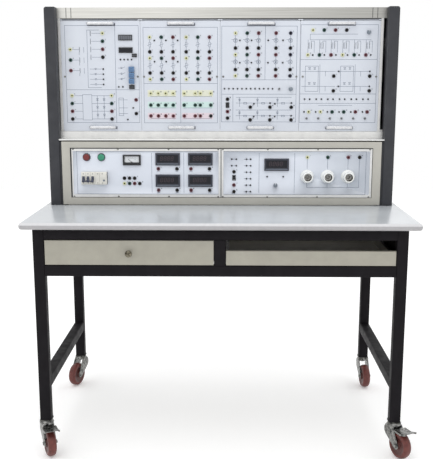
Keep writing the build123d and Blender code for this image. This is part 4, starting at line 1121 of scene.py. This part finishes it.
def buildFittings(label, node, body, face, middleZ, rows):
    kinds = sortFittings(node)
    centres = [socket[0] for socket in kinds["socket"]]

    def stampAt(kind, stamp, places, finish, replaced=()):
        if places:
            stampPiece(f"{label}_{kind}", stamp, [(x, face, z) for x, z in places], finish, body,
                       replaced)

    for tone, places in toneSockets(centres, rows, middleZ).items():
        colour = tones.get(tone, "blue")
        stampAt(f"{colour}_sockets", "shroud", places, f"socket{colour.title()}",
                (node,) if tone == "k" else ())
    stampAt("contacts", "contact", centres, "brassContactPaintedShade")
    stampAt("jacks", "jack", [jack[0] for jack in kinds["jack"]], "socketBlack")
    return kinds


moduleHalf = 210.5       # from a case's foot to the middle of its face
moduleBoxes = {number: boxMm(f"module_{number}_case") for number in modules}
moduleFace = moduleBoxes[1][0][1]
moduleMiddleZ = moduleBoxes[1][0][2] + moduleHalf
moduleMiddleX = {number: middle(*box)[0] for number, box in moduleBoxes.items()}
fittings = {}
for number in modules:
    name = f"module_{number}"
    fittings[number] = buildFittings(name, f"{name}_sockets", name, moduleFace, moduleMiddleZ,
                                     socketRows[number])
fittings["mains"] = buildFittings("mains", "power_sockets", "root", panelFace, panelMiddle,
                                  socketRows["mains"])
print("sockets and jacks:", {key: len(value["socket"]) for key, value in fittings.items()})


# Displays, relays, chips, switch bushes and rocker frames

digitColumns = {"count": 6, "start": 2.2, "pitch": 8.4, "width": 7, "above": 120}
relaySeams = ((3, -4), (5, 2))           # inset from the sides, height above the middle
chip = {"pins": 4, "edge": 2.4, "pinHalf": 0.8, "pinHigh": 2.5}
nutProfile = [(2.9, 0), (5.2, 0), (5.2, 1.8), (4.8, 2.1), (2.9, 2.1)]
bushProfile = [(2.75, 0), (4, 0), (4, 4.6), (3.6, 5), (2.75, 5)]
rockerRings = ((0, 0.6), (0.6, 0), (1.4, 0))     # inset, and depth behind the front


def buildModuleParts():
    form = bmesh.new()
    for (x, z), low, high in fittings[1]["display"]:
        addBlock(form, low, high, 0, 0.6)
        if z > moduleMiddleZ + digitColumns["above"]:
            for column in range(digitColumns["count"]):
                left = low[0] + digitColumns["start"] + column * digitColumns["pitch"]
                addBlock(form, (left, low[1] - 0.15, low[2] + 3),
                         (left + digitColumns["width"], low[1] + 0.2, high[2] - 3), 1, 0.1)
        else:
            addBlock(form, (low[0] + 3, low[1] - 0.15, low[2] + 4),
                     (high[0] - 3, low[1] + 0.2, high[2] - 4), 2)
    newPiece("module_1_displays", form, ["blackCap", "segmentGrey", "displayWindow"], "module_1")
    form = bmesh.new()
    for (x, z), low, high in fittings[1]["relay"]:
        addBlock(form, low, high, 0, 0.8)
        for edge, height in relaySeams:
            addBlock(form, (low[0] + edge, low[1] - 0.1, z + height),
                     (high[0] - edge, low[1] + 0.2, z + height + 0.8), 1)
    newPiece("module_1_relays", form, ["relayBlue", "meterPlastic"], "module_1")
    form = bmesh.new()
    for (x, z), low, high in fittings[1]["block"]:
        addBlock(form, low, high, 0, 0.5)
        for pin in range(chip["pins"]):
            pinX = low[0] + chip["edge"] + pin * (high[0] - low[0] - 2 * chip["edge"]) / (chip["pins"] - 1)
            addBlock(form, (pinX - chip["pinHalf"], low[1] - 0.15, z - chip["pinHigh"]),
                     (pinX + chip["pinHalf"], low[1] + 0.2, z + chip["pinHigh"]), 1)
    newPiece("module_1_chips", form, ["blackCap", "segmentGrey"], "module_1")
    for number in (3, 4):
        form = bmesh.new()
        for centre, low, high in fittings[number]["bush"]:
            joinInto(form, lathe(nutProfile, 6, closed=True), at(centre, moduleFace))
            joinInto(form, lathe(bushProfile, 24, closed=True), at(centre, moduleFace))
        newPiece(f"module_{number}_bushes", form, ["chromePlate"], f"module_{number}")
    for key, name, body, face in ((3, "module_3", "module_3", moduleFace),
                                  ("mains", "mains", "root", panelFace)):
        form = bmesh.new()
        for centre, low, high in fittings[key]["frame"]:
            rings = [inset(low, high, by, low[1] + behind) for by, behind in rockerRings]
            joinInto(form, boxRings([inset(low, high, 0, face), *rings, inset(low, high, 1.5, face)]))
        newPiece(f"{name}_rocker_frame", form, ["socketBlack"], body)


buildModuleParts()


# Screws: round the mains panels and at the sides of the modules

screws = {"columns": (-580, -404, -205, -11, 7, 182, 378, 580), "rows": (92.5, -94), "moduleSide": 142,
          "turn": 3.1, "panelSize": 1.2, "moduleSize": 1.3}


def buildScrews():
    places = [(x, panelLow[1], panelMiddle + z) for x in screws["columns"] for z in screws["rows"]]
    stampPiece("panel_screws", "screw", places, "screwSteel", "root", turn=screws["turn"],
               seed=4, size=screws["panelSize"])
    for number in modules:
        places = [(moduleMiddleX[number] + side * screws["moduleSide"], moduleFace, moduleMiddleZ)
                  for side in (-1, 1)]
        stampPiece(f"module_{number}_screws", "screw", places, "screwSteel", f"module_{number}",
                   turn=screws["turn"], seed=10 + number, size=screws["moduleSize"])


buildScrews()


# Screen-printed lines and plain numbers. Real ink lines are 0.5 mm; these are drawn
# a little wider so that they show at the size of the photograph

ink = {"line": 1.3, "number": 4.2, "numberLine": 0.7, "numberAside": 10.5, "numberAbove": 6.5,
       "rise": 0.12, "tint": 0.05, "corner": 9, "cornerHigh": 8, "cornerDeep": 2}


def rectangle(x0, z0, x1, z1):
    return [(x0, z0), (x1, z0), (x1, z1), (x0, z1), (x0, z0)]


def level(z, *ends):
    # level lines at height z, from the first x to the second, the third to the fourth
    return [[(a, z), (b, z)] for a, b in zip(ends[::2], ends[1::2])]


def upright(x, *ends):
    return [[(x, a), (x, b)] for a, b in zip(ends[::2], ends[1::2])]


def ringLine(x, z, radius, sides=14):
    return [polar(x, z, radius, math.tau * i / sides) for i in range(sides + 1)]


def coilLine(x, z, bumps, size):
    # a winding drawn as bumps down a line
    points = []
    for bump in range(bumps):
        for step in range(7):
            angle = math.pi / 2 - math.pi * step / 6
            fall = size * (math.sin(angle) - 1 - bump * 2)
            points.append((x + size * 0.9 * math.cos(angle), z + fall))
    return points


def valveSymbol(x, z, size):
    # a triangle and a bar, pointing down
    foot = z - size * 0.8
    return [[(x - size, z + size), (x + size, z + size), (x, foot), (x - size, z + size)],
            [(x - size, foot), (x + size, foot)]]


def moduleOneLines():
    lines = [rectangle(-138, -177, 147, 193), *upright(56, 193, -177), *level(-50, -138, 147),
             *upright(-52, 176, -42), *level(176, -52, -6), *level(-42, -52, 0),
             rectangle(-76, -167, -40, -69), rectangle(66, -150, 84, -82)]
    for z in (103, 63, 23):
        lines += [*level(z, -110, -84), coilLine(-84, z + 9, 4, 2.4), *upright(-84, z - 11, z - 20),
                  *upright(-66, z + 9, z - 11)]
    for z in (164, 134, 104, 74):
        lines += [*level(z, -34, 0), coilLine(-40, z + 9, 4, 2.4)]
    for z in (29, 9.5, -10, -29.5):
        lines += [*level(z, -44, -26, -18, 2), *valveSymbol(-22, z, 3)]
    for z in (-73, -103, -133, -163):
        lines += level(z, -109, -76, -40, 30)
    for x in (-18, 8):
        lines += upright(x, -73, -163)
        for z in (-88, -118, -148):
            lines += valveSymbol(x, z, 4)
    for z in (-89, -120, -142):
        lines += level(z, 66, 100)
    for z in (33, 11, -9):
        lines += [*level(z, 66, 76), *valveSymbol(79, z, 3), [(83, z), (92, z + 4)]]
    return lines


def moduleTwoLines():
    lines = [rectangle(-143, -178, 144, 186), *upright(0, 186, -178), *level(-26, -143, 144)]
    for x in (-118, -73, -28, 23, 68, 113):
        for top, bottom in ((149, 94), (70, 14)):
            z = (top + bottom) / 2
            lines += [*upright(x, top - 8, z + 9, z - 9, bottom + 8),
                      rectangle(x - 3, z - 9, x + 3, z + 9), [(x - 9, z - 3), (x + 9, z + 3)]]
    for z in (-76, -120, -161):
        lines += level(z, -118, -20, 12, 122)
    return lines


def moduleThreeLines():
    lines = [rectangle(-148, -174, 142, 190), *upright(20, 190, -12), *level(-12, -148, 142),
             *level(-67, -148, 142), *upright(-104, -67, -174)]
    for x in (-95, -50, -6, 61, 117):
        for top, bottom in ((164, 108), (83, 27)):
            z = (top + bottom) / 2 + 1
            lines += [*upright(x, top - 8, bottom + 8), ringLine(x, z, 8), *valveSymbol(x, z, 4),
                      *level(z + 3, x - 8, x - 15)]
    for z in (-101, -150):
        lines += level(z, -92, 130) + level(z + 22, -92, 124)
        for x in (-78, -8, 70):
            lines += [*valveSymbol(x, z + 11, 4), *upright(x, z + 22, z - 14),
                      rectangle(x + 16, z - 4, x + 28, z + 2)]
    return lines


def moduleFourLines():
    lines = [rectangle(-152, -176, 144, 195), *level(139, -116, 118), *upright(-116, 139, 160),
             *level(160, -116, 66), *level(-110, -78, 52)]
    for z in (65, -66, -102):
        lines += level(z, -152, 144)
    for index in range(6):
        x = -124 + 44.6 * index
        lines += [*upright(x, 90, 106, 128, 139), coilLine(x, 128, 5, 2.2), coilLine(x + 12, 128, 5, 2.2),
                  [(x + 12, 128), (x + 12, 134), (x + 24, 134), (x + 24, 92)], *upright(x + 6, 129, 105)]
    for left in (-146, -10):
        lines += [rectangle(left + 14, -56, left + 64, 40), *upright(left + 70, 46, -62)]
        for z in (20, -37):
            lines += [*level(z, left, left + 130), *valveSymbol(left + 30, z + 11, 4),
                      *valveSymbol(left + 50, z + 11, 4), *upright(left + 92, z, z - 18)]
    return lines


def mainsLines():
    lines = [rectangle(-566, -84, -9, 84), rectangle(9, -84, 566, 84), *level(-56, 337, 540),
             *upright(540, -56, 55)]
    for x in (-272, -146, 149, 288):
        lines += upright(x, 78, -78)
    for x in (337, 416.5, 496):
        lines += upright(x, 55, 16, -42, -56)
    for x in (-246, -173, -118, -45):
        lines += level(6, x - 5, x + 5) + level(-78, x - 5, x + 5)
    for z in (54, 28.6):
        lines += level(z, 42, 60)
    for index in range(6):
        lines += level(54 - 25.4 * index, 90, 96, 104, 112)
    return lines


headerLow, headerHigh = boxMm("header_rail")
tintBands = ((-77, -51), (-121, -96), (-164, -139))      # yellow, green and pink, on module 2
tintSpans = ((-129, -18), (5, 127))


def buildInk():
    drawings = {1: moduleOneLines, 2: moduleTwoLines, 3: moduleThreeLines, 4: moduleFourLines,
                "mains": mainsLines}
    for key, draw in drawings.items():
        mains = key == "mains"
        face, x0, z0 = ((panelFace, 0, panelMiddle) if mains
                        else (moduleFace, moduleMiddleX[key], moduleMiddleZ))
        front = face - ink["rise"]
        lines = [[(x0 + x, z0 + z) for x, z in line] for line in draw()]
        form = bmesh.new()
        addStrokes(form, lines, ink["line"], front, ink["rise"])
        # the sockets are numbered row by row
        rows = sorted((socket[0] for socket in fittings[key]["socket"]),
                      key=lambda place: (-round(place[1]), place[0]))
        for index, (x, z) in enumerate(rows, start=1):
            strokes = numberStrokes(index, x + ink["numberAside"], z + ink["numberAbove"], ink["number"])
            addStrokes(form, strokes, ink["numberLine"], front, ink["rise"], 1)
        if not mains:
            # the corners beside the tongue are closed by the panel's own sheet
            half = (moduleBoxes[key][1][0] - moduleBoxes[key][0][0]) / 2
            for side in (-1, 1):
                edge, inner = sorted((side * half, side * (half - ink["corner"])))
                addBlock(form, (x0 + edge, face + ink["tint"], headerLow[2] - ink["cornerHigh"]),
                         (x0 + inner, face + ink["cornerDeep"], headerLow[2]), 6)
        if key == 2:
            for band, (low, high) in enumerate(tintBands):
                for left, right in tintSpans:
                    addBlock(form, (x0 + left, face - ink["tint"], z0 + low),
                             (x0 + right, face, z0 + high), 3 + band)
        body = "root" if mains else f"module_{key}"
        newPiece("mains_print" if mains else f"{body}_print", form,
                 ["screenInk", "darkInk", "blackCap", "tintYellow", "tintGreen", "tintPink",
                  "printedModulePanel"], body)


# Dark marks of the header: a painted shadow over the modules, and two seams near each end
headerShadowAndSeams = {"high": 3.4, "width": 2.2, "seams": (36, 55), "short": 1}


def buildHeaderJoints():
    form = bmesh.new()
    left, right = moduleBoxes[1][0][0], moduleBoxes[4][1][0]
    half, short = headerShadowAndSeams["width"] / 2, headerShadowAndSeams["short"]
    # painted shadow: a dark strip on the modules' faces along the header's lower edge
    addBlock(form, (left, moduleFace - ink["tint"] * 2, headerLow[2] - headerShadowAndSeams["high"]),
             (right, moduleFace - ink["tint"], headerLow[2]))
    for distance in headerShadowAndSeams["seams"]:
        for x in (headerLow[0] + distance, headerHigh[0] - distance):
            addBlock(form, (x - half, headerLow[1] - ink["tint"], headerLow[2] + short),
                     (x + half, headerLow[1], headerHigh[2] - short))
    newPiece("header_joints", form, ["blackCap"], "root")


buildInk()
buildHeaderJoints()
for stamp in stamps.values():
    bpy.data.objects.remove(stamp)
print("screws and printing")
